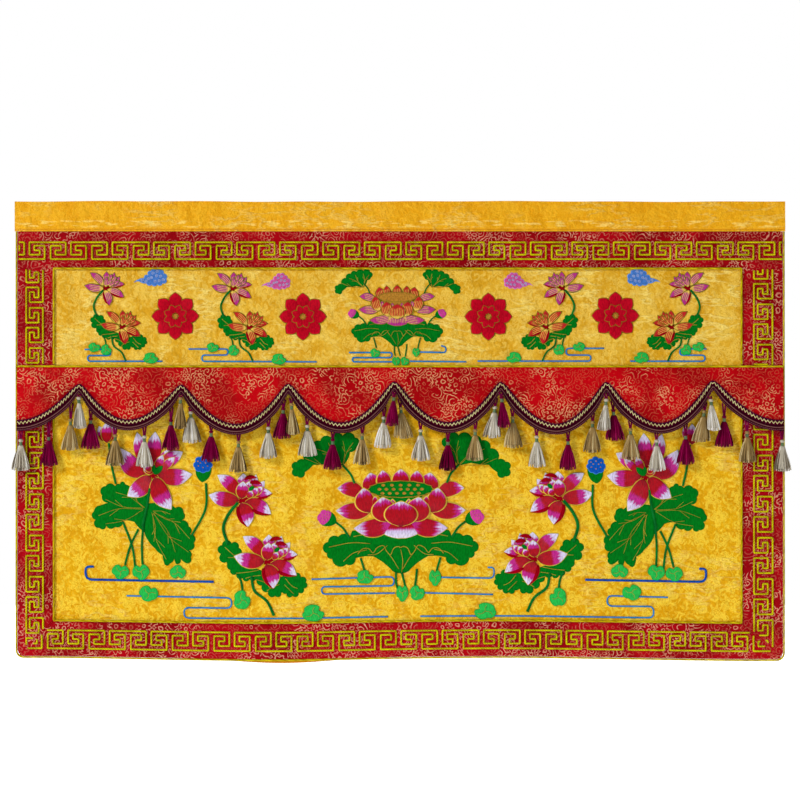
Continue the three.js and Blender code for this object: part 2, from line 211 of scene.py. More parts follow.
# Shallow creases that the folded cloth has kept: both ends, height and half width
Crease = namedtuple("Crease", "x0 z0 x1 z1 height reach")
CREASES = (
    Crease(-0.62, -0.15, -0.50, -0.20, 0.0012, 0.010),
    Crease(-0.66, -0.18, -0.57, -0.15, 0.0010, 0.008),
    Crease(-0.40, -0.19, -0.30, -0.155, 0.0010, 0.009),
    Crease(-0.17, -0.23, -0.06, -0.21, 0.0010, 0.010),
    Crease(0.02, -0.26, 0.10, -0.20, 0.0010, 0.008),
    Crease(0.24, -0.17, 0.33, -0.21, 0.0012, 0.010),
    Crease(0.42, -0.28, 0.50, -0.24, 0.0010, 0.009),
    Crease(0.58, -0.30, 0.64, -0.22, 0.0014, 0.010),
    Crease(-0.66, -0.60, -0.40, -0.575, 0.0012, 0.014),
    Crease(-0.30, -0.72, -0.14, -0.69, 0.0014, 0.010),
    Crease(-0.20, -0.58, -0.05, -0.60, 0.0010, 0.012),
    Crease(0.10, -0.68, 0.26, -0.71, 0.0012, 0.010),
    Crease(0.18, -0.50, 0.34, -0.53, 0.0012, 0.012),
    Crease(0.45, -0.76, 0.62, -0.73, 0.0012, 0.012),
    Crease(0.50, -0.63, 0.66, -0.60, 0.0010, 0.010),
    Crease(-0.62, -0.79, -0.45, -0.76, 0.0010, 0.010),
)


def crease_lift(x, z, creases=CREASES):
    """How far kept creases raise a cloth's face."""
    lift = 0 * x
    for fold in creases:
        run = np.array([fold.x1 - fold.x0, fold.z1 - fold.z0])
        length = np.hypot(*run)
        ahead = ((x - fold.x0) * run[0] + (z - fold.z0) * run[1]) / length
        aside = ((x - fold.x0) * run[1] - (z - fold.z0) * run[0]) / length
        fade = np.clip(np.sin(math.pi * np.clip(ahead / length, 0, 1)), 0, 1)
        lift = lift + fold.height * fade * np.exp(-((aside / fold.reach) ** 2))
    return lift


def face_lift(x, z):
    return CLOTH + crease_lift(x, z)


def panel_between(head, foot):
    def place(u, v):
        x = PANEL_LEFT + GAP + (PANEL_RIGHT - PANEL_LEFT - 2 * GAP) * u
        z = head + (foot - head) * v
        return x, z, face_lift(x, z)

    return place


def blossoms(tree, places, cell, petals, seed):
    """Woven flowers at scattered places: how far inside its outline a place lies, in cells, and
    the distance from its flower's heart."""
    joins = {"Vector": places, "Scale": 1 / cell, "Randomness": 0.75}
    spread = add(tree, "TexVoronoi", joins, voronoi_dimensions="2D")
    own = add(tree, "VectorMath", {0: places, 1: spread.outputs["Position"]}, operation="SUBTRACT")
    parts = add(tree, "SeparateXYZ", {0: own.outputs[0]}).outputs
    angle = reckon(tree, "ARCTAN2", parts[1], parts[0])
    tint = add(tree, "SeparateXYZ", {0: spread.outputs["Color"]}).outputs
    turned = reckon(tree, "MULTIPLY_ADD", tint[0], 6.0, seed)
    wave = reckon(tree, "COSINE", reckon(tree, "MULTIPLY_ADD", angle, float(petals), turned))
    size = reckon(tree, "MULTIPLY_ADD", tint[1], 0.14, 0.26)
    rim = reckon(tree, "MULTIPLY", size, reckon(tree, "MULTIPLY_ADD", wave, 0.22, 1.0))
    return reckon(tree, "SUBTRACT", rim, spread.outputs["Distance"]), spread.outputs["Distance"]


def band(tree, value, middle, half):
    """1 where the value is within half of the middle, with soft edges."""
    off = reckon(tree, "ABSOLUTE", reckon(tree, "SUBTRACT", value, middle))
    return reckon(tree, "SUBTRACT", 1.0, step(tree, off, half * 0.6, half * 1.3))


def either(tree, *masks):
    whole = masks[0]
    for mask in masks[1:]:
        whole = reckon(tree, "MAXIMUM", whole, mask)
    return whole


def curls(tree, places, cell, pitch, turn, half):
    """Woven scrolls: lines wound round scattered hearts."""
    joins = {"Vector": places, "Scale": 1 / cell, "Randomness": 0.85}
    spread = add(tree, "TexVoronoi", joins, voronoi_dimensions="2D")
    own = add(tree, "VectorMath", {0: places, 1: spread.outputs["Position"]}, operation="SUBTRACT")
    parts = add(tree, "SeparateXYZ", {0: own.outputs[0]}).outputs
    angle = reckon(tree, "MULTIPLY_ADD", reckon(tree, "ARCTAN2", parts[1], parts[0]),
                   turn / (2 * math.pi), 3.0)
    wound = reckon(tree, "MULTIPLY_ADD", spread.outputs["Distance"], cell / pitch, angle)
    return band(tree, reckon(tree, "FRACT", wound), 0.5, half)


def drifting(tree, flat, scale, reach):
    """Places pushed about, so that a woven figure isn't quite even."""
    drift = add(tree, "TexNoise", {"Vector": flat, "Scale": scale}, noise_dimensions="2D")
    pull = add(tree, "VectorMath", {0: drift.outputs["Color"], 1: (0.5, 0.5, 0.5)}, operation="SUBTRACT")
    pushed = add(tree, "VectorMath", {0: pull.outputs[0], "Scale": reach}, operation="SCALE")
    return add(tree, "VectorMath", {0: flat, 1: pushed.outputs[0]}).outputs[0]


def ridged(tree, flat, scale, sharpness, lean):
    """Thin creases where the cloth was crumpled, drawn out along a lean: 1 on a crease. The damask raises
    them in its bump and paints highlights on them.
    """
    turned = add(tree, "Mapping", {"Vector": flat, "Rotation": (0, 0, lean),
                                   "Scale": (1.0, 3.2, 1.0)}).outputs[0]
    off = reckon(tree, "ABSOLUTE", reckon(tree, "SUBTRACT", mottle(tree, turned, scale, 4.0, 0.6), 0.5))
    return reckon(tree, "SUBTRACT", 1.0, reckon(tree, "MULTIPLY", off, sharpness), clamp=True)


def damask(name, ground, figure, glow, crease_highlight=0.3, shown_by=0.85, streak=None):
    """Satin damask, with painted highlights along its creases. A streak is the height of a line of
    painted highlight where the cloth is pulled, with painted shade along the stitched groove under it.
    """
    tree, shader, finish = new_finish(name, roughness=0.42, sheen=0.1, specular=0.4,
                                      gloss=tone(255, 215, 110))
    flat = cloth_places(tree)
    places = drifting(tree, flat, 45.0, 0.012)
    inside, heart = blossoms(tree, places, 0.040, 6, 0.0)
    bloom = step(tree, inside, -0.02, 0.03)
    gaps = either(tree, band(tree, inside, 0.1, 0.025), band(tree, heart, 0.08, 0.03))
    bloom = reckon(tree, "SUBTRACT", bloom, reckon(tree, "MULTIPLY", gaps, 0.9), clamp=True)
    scrolls = curls(tree, places, 0.026, 0.0105, 1.0, 0.24)
    leaves = step(tree, mottle(tree, places, 140, 1.5), 0.52, 0.6)
    woven = reckon(tree, "MULTIPLY", scrolls, step(tree, mottle(tree, flat, 52, 1.0), 0.46, 0.52))
    shown = either(tree, woven, reckon(tree, "MULTIPLY", leaves, 0.5))
    shown = reckon(tree, "MULTIPLY", shown, step(tree, mottle(tree, flat, 60, 2.0), 0.3, 0.44))
    shown = either(tree, shown, bloom)
    patches = step(tree, mottle(tree, flat, 18, 5.0, 0.7), 0.35, 0.7)
    base = blend(tree, reckon(tree, "MULTIPLY", patches, 0.6), ground, glow)
    colour = blend(tree, reckon(tree, "MULTIPLY", shown, shown_by), base, figure)
    some = step(tree, mottle(tree, flat, 9, 2.0), 0.46, 0.6)
    kept = reckon(tree, "MULTIPLY", ridged(tree, flat, 13, 17, 0.7), some)
    # Painted highlight: pale lines on the crumpled creases, where light catches the raised cloth
    colour = blend(tree, reckon(tree, "MULTIPLY", kept, crease_highlight), colour, tone(252, 230, 130))
    if streak:
        height = add(tree, "SeparateXYZ", {0: flat}).outputs[1]
        pulled = add(tree, "CombineXYZ", {0: add(tree, "SeparateXYZ", {0: flat}).outputs[0],
                                          1: reckon(tree, "MULTIPLY", height, 5.0)}).outputs[0]
        # Painted highlight: a pale streak along the heading's puckered ridge, where the pulled cloth catches
        # the light
        share = reckon(tree, "MULTIPLY", band(tree, height, streak, 0.007),
                       step(tree, mottle(tree, pulled, 34, 3.0), 0.52, 0.66))
        colour = blend(tree, reckon(tree, "MULTIPLY", share, 0.5), colour, tone(255, 230, 130))
        # Painted shade: a darker line in the stitched groove at the stitch level
        colour = blend(tree, reckon(tree, "MULTIPLY", band(tree, height, STITCH_LEVEL, 0.0014), 0.6), colour,
                       tone(206, 134, 8))
    tree.links.new(colour, shader.inputs["Base Color"])
    weave = weave_of(tree, flat, 0.0007)
    height = reckon(tree, "MULTIPLY_ADD", weave, 0.5, reckon(tree, "MULTIPLY", shown, 0.6))
    height = reckon(tree, "MULTIPLY_ADD", kept, 3.0, height)
    crumpled = mottle(tree, flat, 34, 5.0, 0.62)
    emboss(tree, shader, reckon(tree, "MULTIPLY_ADD", crumpled, 20.0, height), 0.00035)
    return finish


upper_damask = damask("upper panel damask", tone(206, 150, 22), tone(238, 204, 92), tone(230, 186, 62),
                      crease_highlight=0.6, shown_by=0.5)
lower_damask = damask("lower panel damask", tone(208, 148, 0), tone(236, 202, 58), tone(222, 170, 8),
                      crease_highlight=0.3, shown_by=0.75)

upper_panel = lay_cloth("upper_panel_cloth", 190, 30, panel_between(PANEL_HEAD - GAP, SEAM + GAP), CLOTH)
upper_panel.data.materials.append(upper_damask)
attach(upper_panel, "root")
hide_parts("upper_panel")

lower_panel = lay_cloth("lower_panel_cloth", 190, 72, panel_between(SEAM - GAP, PANEL_FOOT + GAP), CLOTH)
lower_panel.data.materials.append(lower_damask)
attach(lower_panel, "root")
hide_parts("lower_panel")


# The red borders
# Strips of crimson brocade with fine lines of clouds and coins in a gold-pink thread, pieced round
# both panels. The lower strips meet the bottom one in mitred seams.

SIDE = 0.749
PIPING = 0.0019
CORNER = 0.012
HEADING_FOOT = -0.0585
EDGE = SIDE - PIPING - GAP
HEM_EDGE = HEM + PIPING + GAP
CORNER_TIP = CORNER * (1 - math.sqrt(0.5))


def brocade(name, ground, shade, line, pale_line):
    tree, shader, finish = new_finish(name, roughness=0.48, sheen=0.08, specular=0.35,
                                      gloss=tone(255, 90, 80))
    flat = cloth_places(tree)
    places = drifting(tree, flat, 48.0, 0.011)
    small = curls(tree, places, 0.017, 0.0056, 1.0, 0.14)
    large = curls(tree, places, 0.027, 0.0068, -1.0, 0.11)
    choice = step(tree, mottle(tree, flat, 26, 1.0), 0.46, 0.54)
    figures = reckon(tree, "MULTIPLY_ADD", reckon(tree, "SUBTRACT", small, large), choice, large)
    inside, heart = blossoms(tree, places, 0.034, 8, 1.0)
    coins = either(tree, band(tree, inside, 0.0, 0.03), band(tree, heart, 0.1, 0.03))
    bare = step(tree, mottle(tree, flat, 48, 1.5), 0.37, 0.45)
    figures = reckon(tree, "MULTIPLY", figures, bare)
    beyond = step(tree, inside, -0.03, -0.01)
    figures = reckon(tree, "MULTIPLY", figures, reckon(tree, "SUBTRACT", 1.0, beyond))
    lines = either(tree, figures, reckon(tree, "MULTIPLY", coins, 0.8))
    bright = step(tree, mottle(tree, flat, 16, 2.0), 0.4, 0.62)
    thread = blend(tree, bright, line, pale_line)
    dyed = blend(tree, step(tree, mottle(tree, flat, 10, 3.0), 0.35, 0.65), shade, ground)
    weight = reckon(tree, "MULTIPLY_ADD", bright, 0.4, 0.36)
    colour = blend(tree, reckon(tree, "MULTIPLY", lines, weight), dyed, thread)
    tree.links.new(colour, shader.inputs["Base Color"])
    weave = weave_of(tree, flat, 0.0007)
    height = reckon(tree, "MULTIPLY_ADD", weave, 0.5, reckon(tree, "MULTIPLY", lines, 0.8))
    ridges = mottle(tree, flat, 30, 3.0, 0.6)
    emboss(tree, shader, reckon(tree, "MULTIPLY_ADD", ridges, 7.0, height), 0.0003)
    return finish


border_brocade = brocade("border brocade", tone(160, 0, 16), tone(128, 0, 10),
                         tone(204, 108, 86), tone(230, 170, 138))


def rounded_hem(x):
    inward = np.maximum(0, CORNER - (EDGE - np.abs(x)))
    return HEM_EDGE + CORNER - np.sqrt(np.maximum(0, CORNER**2 - inward**2))


def mitre(x):
    panel_side = np.where(x < 0, -PANEL_LEFT, PANEL_RIGHT)
    share = np.clip((np.abs(x) - panel_side) / (EDGE - CORNER_TIP - panel_side), 0, 1)
    return PANEL_FOOT + (HEM_EDGE + CORNER_TIP - PANEL_FOOT) * share


def strip(left, right, head, foot):
    """The place of a border strip between two sides and between two heights or edge lines."""

    def place(u, v):
        x = left + (right - left) * u
        top = head(x) if callable(head) else head
        low = foot(x) if callable(foot) else foot
        return x, top + (low - top) * v, CLOTH + 0 * x

    return place


def side_foot(x):
    tip = np.abs(x) > EDGE - CORNER_TIP
    return np.where(tip, rounded_hem(x), mitre(x)) + GAP


Strip = namedtuple("Strip", "left right head foot across down flat")
HEM_END = EDGE - CORNER_TIP - 0.001
BORDERS = {
    "top_border": Strip(-EDGE, EDGE, HEADING_FOOT - GAP, PANEL_HEAD, 200, 10, (1.494, 0.072)),
    "upper_border_left": Strip(-EDGE, PANEL_LEFT - GAP, PANEL_HEAD - GAP, SEAM + GAP, 12, 28, (0.071, 0.191)),
    "upper_border_right": Strip(PANEL_RIGHT + GAP, EDGE, PANEL_HEAD - GAP, SEAM + GAP, 12, 28,
                                (0.081, 0.191)),
    "lower_border_left": Strip(-EDGE, PANEL_LEFT - GAP, SEAM - GAP, side_foot, 26, 70, (0.071, 0.57)),
    "lower_border_right": Strip(PANEL_RIGHT + GAP, EDGE, SEAM - GAP, side_foot, 26, 70, (0.081, 0.57)),
    "bottom_border": Strip(-HEM_END, HEM_END, lambda x: mitre(x) - GAP, rounded_hem, 400, 10, (1.486, 0.074)),
}
for node, cut in BORDERS.items():
    place = strip(cut.left, cut.right, cut.head, cut.foot)
    border = lay_cloth(node + "_cloth", cut.across, cut.down, place, CLOTH)
    border.data.materials.append(border_brocade)
    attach(border, "root")
    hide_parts(node)


# The heading band
# A strip of golden brocade folded double over the top edge and stitched down just above its lower
# fold, which draws it into small puckers. It is a little wider than the rest.

HEADING_LEFT = -0.7525
HEADING_RIGHT = 0.7515
HEADING_CLOTH = 0.003
PUCKER = 0.0008
PUCKER_LENGTH = 0.047
STITCH_LEVEL = -0.0545
FOLD_ROLL = 0.0012


def heading_place(u, v):
    x = HEADING_LEFT + (HEADING_RIGHT - HEADING_LEFT) * u
    top = 0.0006 * np.sin(9 * x) + 0.0004 * np.sin(31 * x + 1)
    z = top + (HEADING_FOOT - top) * v
    ridge = np.exp(-(((z + 0.045) / 0.01) ** 2))
    puckers = 0.6 + 0.25 * np.sin(2 * math.pi * x / PUCKER_LENGTH) + 0.3 * np.sin(2 * math.pi * x / 0.029 + 2)
    stitched = FOLD_ROLL * np.exp(-(((z - STITCH_LEVEL) / 0.0012) ** 2))
    slack = 0.0006 * np.sin(x * 23 + z * 60) * np.clip(-z / 0.03, 0, 1)
    return x, z, HEADING_CLOTH + PUCKER * ridge * puckers - stitched + slack


heading = lay_cloth("heading_cloth", 300, 48, heading_place, HEADING_CLOTH)
# Its streak is a painted highlight along the ridge, above a line of painted shade in the stitched groove
heading.data.materials.append(damask("heading brocade", tone(224, 154, 10), tone(238, 180, 36),
                                     tone(232, 168, 22), crease_highlight=0.3, shown_by=0.55, streak=-0.044))
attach(heading, "root")
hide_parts("heading_band")


# The piping
# A cotton cord in a bias fold of olive-gold satin, sewn into the seams round both panels, along the
# seam between them and round the outer edge of the hanging.

FACE_PIPING = CLOTH + GAP + PIPING
EDGE_PIPING = 0.001
HIDDEN_PIPING = -0.352


def rounded(corners, radius):
    """A route through corner points, each corner turned within a small radius."""
    corners = [np.array(corner, float) for corner in corners]
    route = [corners[0]]
    for before, corner, after in zip(corners, corners[1:], corners[2:]):
        back, on = before - corner, after - corner
        reach = min(radius, np.linalg.norm(back) / 2, np.linalg.norm(on) / 2)
        start = corner + back / np.linalg.norm(back) * reach
        end = corner + on / np.linalg.norm(on) * reach
        for share in (0, 0.25, 0.5, 0.75, 1):
            route.append(start * (1 - share) ** 2 + 2 * share * (1 - share) * corner + end * share**2)
    return np.array(route + [corners[-1]])


def spaced(route, pitch=0.006):
    """The route with its long stretches divided, so that it follows the cloth."""
    points = [route[0]]
    for start, end in zip(route, route[1:]):
        length = np.linalg.norm(end - start)
        if length > 1e-7:
            steps = math.ceil(length / pitch)
            points += [start + (end - start) * k / steps for k in range(1, steps + 1)]
    return np.array(points)


def on_cloth(route, lift):
    """A flat route laid on the cloth, its middle at a distance in front of the panels' back."""
    x, z = np.array(route).T
    return hang(x, z, lift(x, z) if callable(lift) else lift)


def cord(route, radius, sides=6, flatness=1.0, finish=0):
    """A closed cord on a route in space: its points, faces, the place along and around it of each
    face corner, and the number of its finish."""
    ahead = np.diff(route, axis=0)
    lengths = np.linalg.norm(ahead, axis=1)
    ahead = ahead / lengths[:, None]
    before, after = np.vstack([ahead[:1], ahead]), np.vstack([ahead, ahead[-1:]])
    forward = before + after
    forward /= np.maximum(np.linalg.norm(forward, axis=1), 1e-9)[:, None]
    mitring = np.sqrt(np.clip((1 + (before * after).sum(axis=1)) / 2, 0.3, 1))
    side = np.cross(forward, (0, -1, 0))
    side /= np.linalg.norm(side, axis=1)[:, None]
    outward = np.cross(side, forward)
    angles = 2 * math.pi * np.arange(sides) / sides
    ring = np.cos(angles)[None, :, None] * side[:, None] / mitring[:, None, None]
    ring = ring + flatness * np.sin(angles)[None, :, None] * outward[:, None]
    radii = np.broadcast_to(radius, len(route))[:, None, None]
    points = (route[:, None] + radii * ring).reshape(-1, 3)
    run = np.concatenate([[0], np.cumsum(lengths)])
    faces, wraps = [], []
    for i in range(len(route) - 1):
        for j in range(sides):
            after_j = (j + 1) % sides
            faces.append((i * sides + j, (i + 1) * sides + j, (i + 1) * sides + after_j, i * sides + after_j))
            wraps += [(run[i], j / sides), (run[i + 1], j / sides),
                      (run[i + 1], (j + 1) / sides), (run[i], (j + 1) / sides)]
    last = (len(route) - 1) * sides
    faces += [tuple(range(sides)), tuple(last + j for j in reversed(range(sides)))]
    wraps += [(0, 0)] * sides + [(run[-1], 0)] * sides
    return points, faces, wraps, finish


def one_piece(name, parts, *finishes):
    """One object from many closed parts."""
    points, faces, wraps, numbers = [], [], [], []
    count = 0
    for part_points, part_faces, part_wraps, finish in parts:
        points.append(part_points)
        faces += [tuple(corner + count for corner in face) for face in part_faces]
        wraps += part_wraps
        numbers += [finish] * len(part_faces)
        count += len(part_points)
    mesh = bpy.data.meshes.new(name)
    mesh.from_pydata(np.vstack(points).tolist(), [], faces)
    mesh.uv_layers.new(name="threads").data.foreach_set("uv", np.array(wraps, float).ravel())
    mesh.polygons.foreach_set("material_index", numbers)
    for finish in finishes:
        mesh.materials.append(finish)
    mesh.shade_smooth()
    piece = bpy.data.objects.new(name, mesh)
    bpy.context.scene.collection.objects.link(piece)
    return piece


def twisted(name, light, dark, pitch, roughness=0.5):
    """The finish of a cord, its strands winding round it at a pitch, with painted shade in the grooves
    between them and patches lighter or darker at random.
    """
    tree, shader, finish = new_finish(name, roughness=roughness, specular=0.4, gloss=light)
    along, around, _ = add(tree, "SeparateXYZ", {0: add(tree, "UVMap", {}).outputs[0]}).outputs
    turns = reckon(tree, "MULTIPLY_ADD", around, 4 * math.pi,
                   reckon(tree, "MULTIPLY", along, 2 * math.pi / pitch))
    strands = reckon(tree, "MULTIPLY_ADD", reckon(tree, "SINE", turns), 0.5, 0.5)
    worn = step(tree, mottle(tree, cloth_places(tree), 45, 3.0), 0.3, 0.7)
    # Painted shade: dark tone in the grooves between the strands, light tone on their crests, mixed with
    # random patches
    shade = reckon(tree, "MULTIPLY_ADD", worn, 0.45, reckon(tree, "MULTIPLY", strands, 0.55))
    tree.links.new(blend(tree, shade, dark, light), shader.inputs["Base Color"])
    emboss(tree, shader, strands, 0.0005)
    return finish


corner_turn = []
for share in np.linspace(0, 1, 7):
    turn = share * math.pi / 2
    reach = CORNER + PIPING
    corner_turn.append((SIDE - reach + reach * math.cos(turn), HEM + reach - reach * math.sin(turn)))
right_run = [(SIDE, HEADING_FOOT - GAP)] + corner_turn
left_run = [(-x, z) for x, z in reversed(right_run)]
PIPINGS = {
    "outer_piping": ([right_run + left_run], EDGE_PIPING),
    "seam_piping": ([[(-EDGE, SEAM), (EDGE, SEAM)]], FACE_PIPING),
    "upper_panel_piping": ([[(PANEL_LEFT, SEAM + 0.0041), (PANEL_LEFT, PANEL_HEAD),
                             (PANEL_RIGHT, PANEL_HEAD), (PANEL_RIGHT, SEAM + 0.0041)]], FACE_PIPING),
    "lower_panel_piping": ([[(PANEL_LEFT, HIDDEN_PIPING), (PANEL_LEFT, PANEL_FOOT),
                             (PANEL_RIGHT, PANEL_FOOT), (PANEL_RIGHT, HIDDEN_PIPING)]], FACE_PIPING),
}
piping_satin = twisted("piping satin", tone(206, 188, 14), tone(142, 112, 0), 0.02, roughness=0.4)
for node, (runs, lift) in PIPINGS.items():
    parts = [cord(on_cloth(spaced(rounded(run, 0.002)), lift), PIPING, sides=8) for run in runs]
    piping = one_piece(node + "_cord", parts, piping_satin)
    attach(piping, "root")
    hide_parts(node)


# The fret on the borders
# One olive cord couched down in the old key pattern, pairs of square hooks that face each other,
# running without a break along the top, down both sides and along the foot.

FRET_CORD = 0.0018
FRET_PERIOD = 0.081
FRET_HEIGHT = 0.0328
KEY_STEPS = ((29.6, -32.8), (29.6, -6.7), (9.4, -6.7), (9.4, -15.7), (20.2, -15.7), (20.2, -24.2),
             (0, -24.2), (0, 0), (70.8, 0), (70.8, -24.2), (50.6, -24.2), (50.6, -15.7),
             (61.4, -15.7), (61.4, -6.7), (41.2, -6.7), (41.2, -32.8))

# The keys are hand laid: along some rows they run ahead or behind, by a distance at some places
FretRow = namedtuple("FretRow", "across start low high period height first_key drift")
FRET_ROWS = (
    FretRow(False, -0.0799, -0.7465, 0.7465, 0.081, 0.0328, -0.4008,
            ((-0.31, 0.0014), (-0.16, 0.0076), (0.6, 0.0076))),
    FretRow(False, -0.8392, -0.742, 0.742, 0.081, 0.0356, -0.39,
            ((-0.6, -0.0151), (0, -0.0129), (0.45, -0.0151))),
    FretRow(True, -0.7295, -0.876, -0.331, 0.0809, 0.0325, -0.1165, ((0, 0), (1, 0))),
    FretRow(True, -0.7295, -0.319, -0.1325, 0.0785, 0.0325, -0.0797, ((0, 0), (1, 0))),
    FretRow(True, 0.6904, -0.876, -0.331, 0.0799, 0.0361, -0.1252, ((0, 0), (1, 0))),
    FretRow(True, 0.6904, -0.319, -0.1325, 0.0785, 0.0361, -0.0727, ((0, 0), (1, 0))),
)


def key_run(row):
    """The key pattern's route along a row, along its length and across it."""
    keys = math.ceil(1.7 / row.period)
    stretch = np.array((row.period / FRET_PERIOD, row.height / FRET_HEIGHT)) / 1000
    route = []
    for key in range(-keys, keys):
        route += [np.array(corner) * stretch + (row.first_key + key * row.period, 0) for corner in KEY_STEPS]
    route = spaced(rounded(route, 0.0016), 0.003)
    route[:, 0] += np.interp(route[:, 0], *np.array(row.drift).T)
    return route


def within(route, inside):
    """The runs of a route that lie inside."""
    runs, run = [], []
    for point, kept in zip(route, inside):
        if kept:
            run.append(point)
        elif run:
            runs.append(run)
            run = []
    return [run for run in runs + [run] if len(run) > 2]


fret_runs = []
for row in FRET_ROWS:
    route = key_run(row)
    inside = (route[:, 0] > row.low) & (route[:, 0] < row.high)
    if row.across:
        route = np.stack([row.start - route[:, 1], route[:, 0]], axis=1)
        inside &= route[:, 1] > mitre(route[:, 0]) + 0.004
    else:
        route[:, 1] += row.start
        if row.start < SEAM:
            inside &= route[:, 1] < mitre(route[:, 0]) - 0.004
    fret_runs += within(route, inside)
fret_lift = CLOTH + 0.6 * FRET_CORD
fret = one_piece("couched_fret",
                 [cord(on_cloth(run, fret_lift), FRET_CORD, flatness=0.95) for run in fret_runs],
                 twisted("olive couching cord", tone(212, 208, 8), tone(140, 122, 0), 0.005))
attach(fret, "root")


# The embroidery
# Lotuses, leaves, seed pods, lily pads, clouds and water, worked on the panels in glossy silk in long
# and short stitches over padding, with gold cord couched down for the outlines and the leaf veins.

EMBROIDERY = 0.0003
LAYER = 0.00045
PADDING = 0.00045
SHELL = 0.0006
VEIN = 0.00045
Spot = namedtuple("Spot", "x z scale turn")
Petal = namedtuple("Petal", "layer foot_x foot_z tip_x tip_z width bow turned")


def placed(spot, points):
    """Places of a motif, in its own millimetres, as flat places on the hanging."""
    points = np.asarray(points, float)
    x = spot.x + spot.turn * spot.scale * points[:, 0]
    return np.stack([x, spot.z + spot.scale * points[:, 1]], axis=1) / 1000


STRIPE_PITCH = 3.2


def silk(name, stops, ragged=0.2, rim=None, stripe=None, roughness=0.34, rim_width=1.4):
    """Embroidery silk: its shades from a petal's foot to its tip run into each other in ragged
    stitches; it may have a couched rim, or stripes towards the tip."""
    gloss = [(a + b) / 2 for a, b in zip(stops[0][1], stops[-1][1])]
    tree, shader, finish = new_finish(name, roughness=roughness, specular=0.35, gloss=gloss)
    stitch = add(tree, "Attribute", {}, attribute_name="stitch").outputs["Vector"]
    across, along, gap = add(tree, "SeparateXYZ", {0: stitch}).outputs
    lie = add(tree, "CombineXYZ", {0: reckon(tree, "MULTIPLY", across, 0.75),
                                   1: reckon(tree, "MULTIPLY", along, 2.0)}).outputs[0]
    jag = reckon(tree, "SUBTRACT", mottle(tree, lie, 1.0, 0.5), 0.5)
    reach = reckon(tree, "MULTIPLY_ADD", jag, ragged, along)
    ramp = add(tree, "ValToRGB", {0: reach})
    for number, (position, colour) in enumerate(stops):
        elements = ramp.color_ramp.elements
        element = elements[number] if number < 2 else elements.new(position)
        element.position = position
        element.color = colour
    colour = ramp.outputs[0]
    if stripe:
        waves = reckon(tree, "SINE", reckon(tree, "MULTIPLY", across, 2 * math.pi / STRIPE_PITCH))
        bands = step(tree, waves, -0.75, -0.45)
        some = reckon(tree, "MULTIPLY", bands, step(tree, reach, 0.14, 0.24))
        shown = reckon(tree, "MAXIMUM", some, step(tree, reach, 0.62, 0.72))
        colour = blend(tree, shown, colour, stripe)
    fine = add(tree, "CombineXYZ", {0: reckon(tree, "MULTIPLY", across, 2.2),
                                    1: reckon(tree, "MULTIPLY", along, 4.0)}).outputs[0]
    floss = mottle(tree, fine, 1.0, 2.0)
    shade = reckon(tree, "MULTIPLY", reckon(tree, "SUBTRACT", 1.0, step(tree, floss, 0.3, 0.62)), 0.2)
    upright = add(tree, "Mapping", {"Vector": cloth_places(tree), "Scale": (1.0, 0.35, 1.0)}).outputs[0]
    worn = step(tree, mottle(tree, upright, 380, 3.0), 0.38, 0.66)
    shade = reckon(tree, "MULTIPLY_ADD", worn, 0.24, shade)
    colour = blend(tree, shade, colour, (0, 0, 0, 1))
    if rim:
        edge = reckon(tree, "SUBTRACT", 1.0, step(tree, gap, 0.8 * rim_width, 1.2 * rim_width))
        colour = blend(tree, edge, colour, rim)
    tree.links.new(colour, shader.inputs["Base Color"])
    emboss(tree, shader, floss, 0.0006)
    return finish


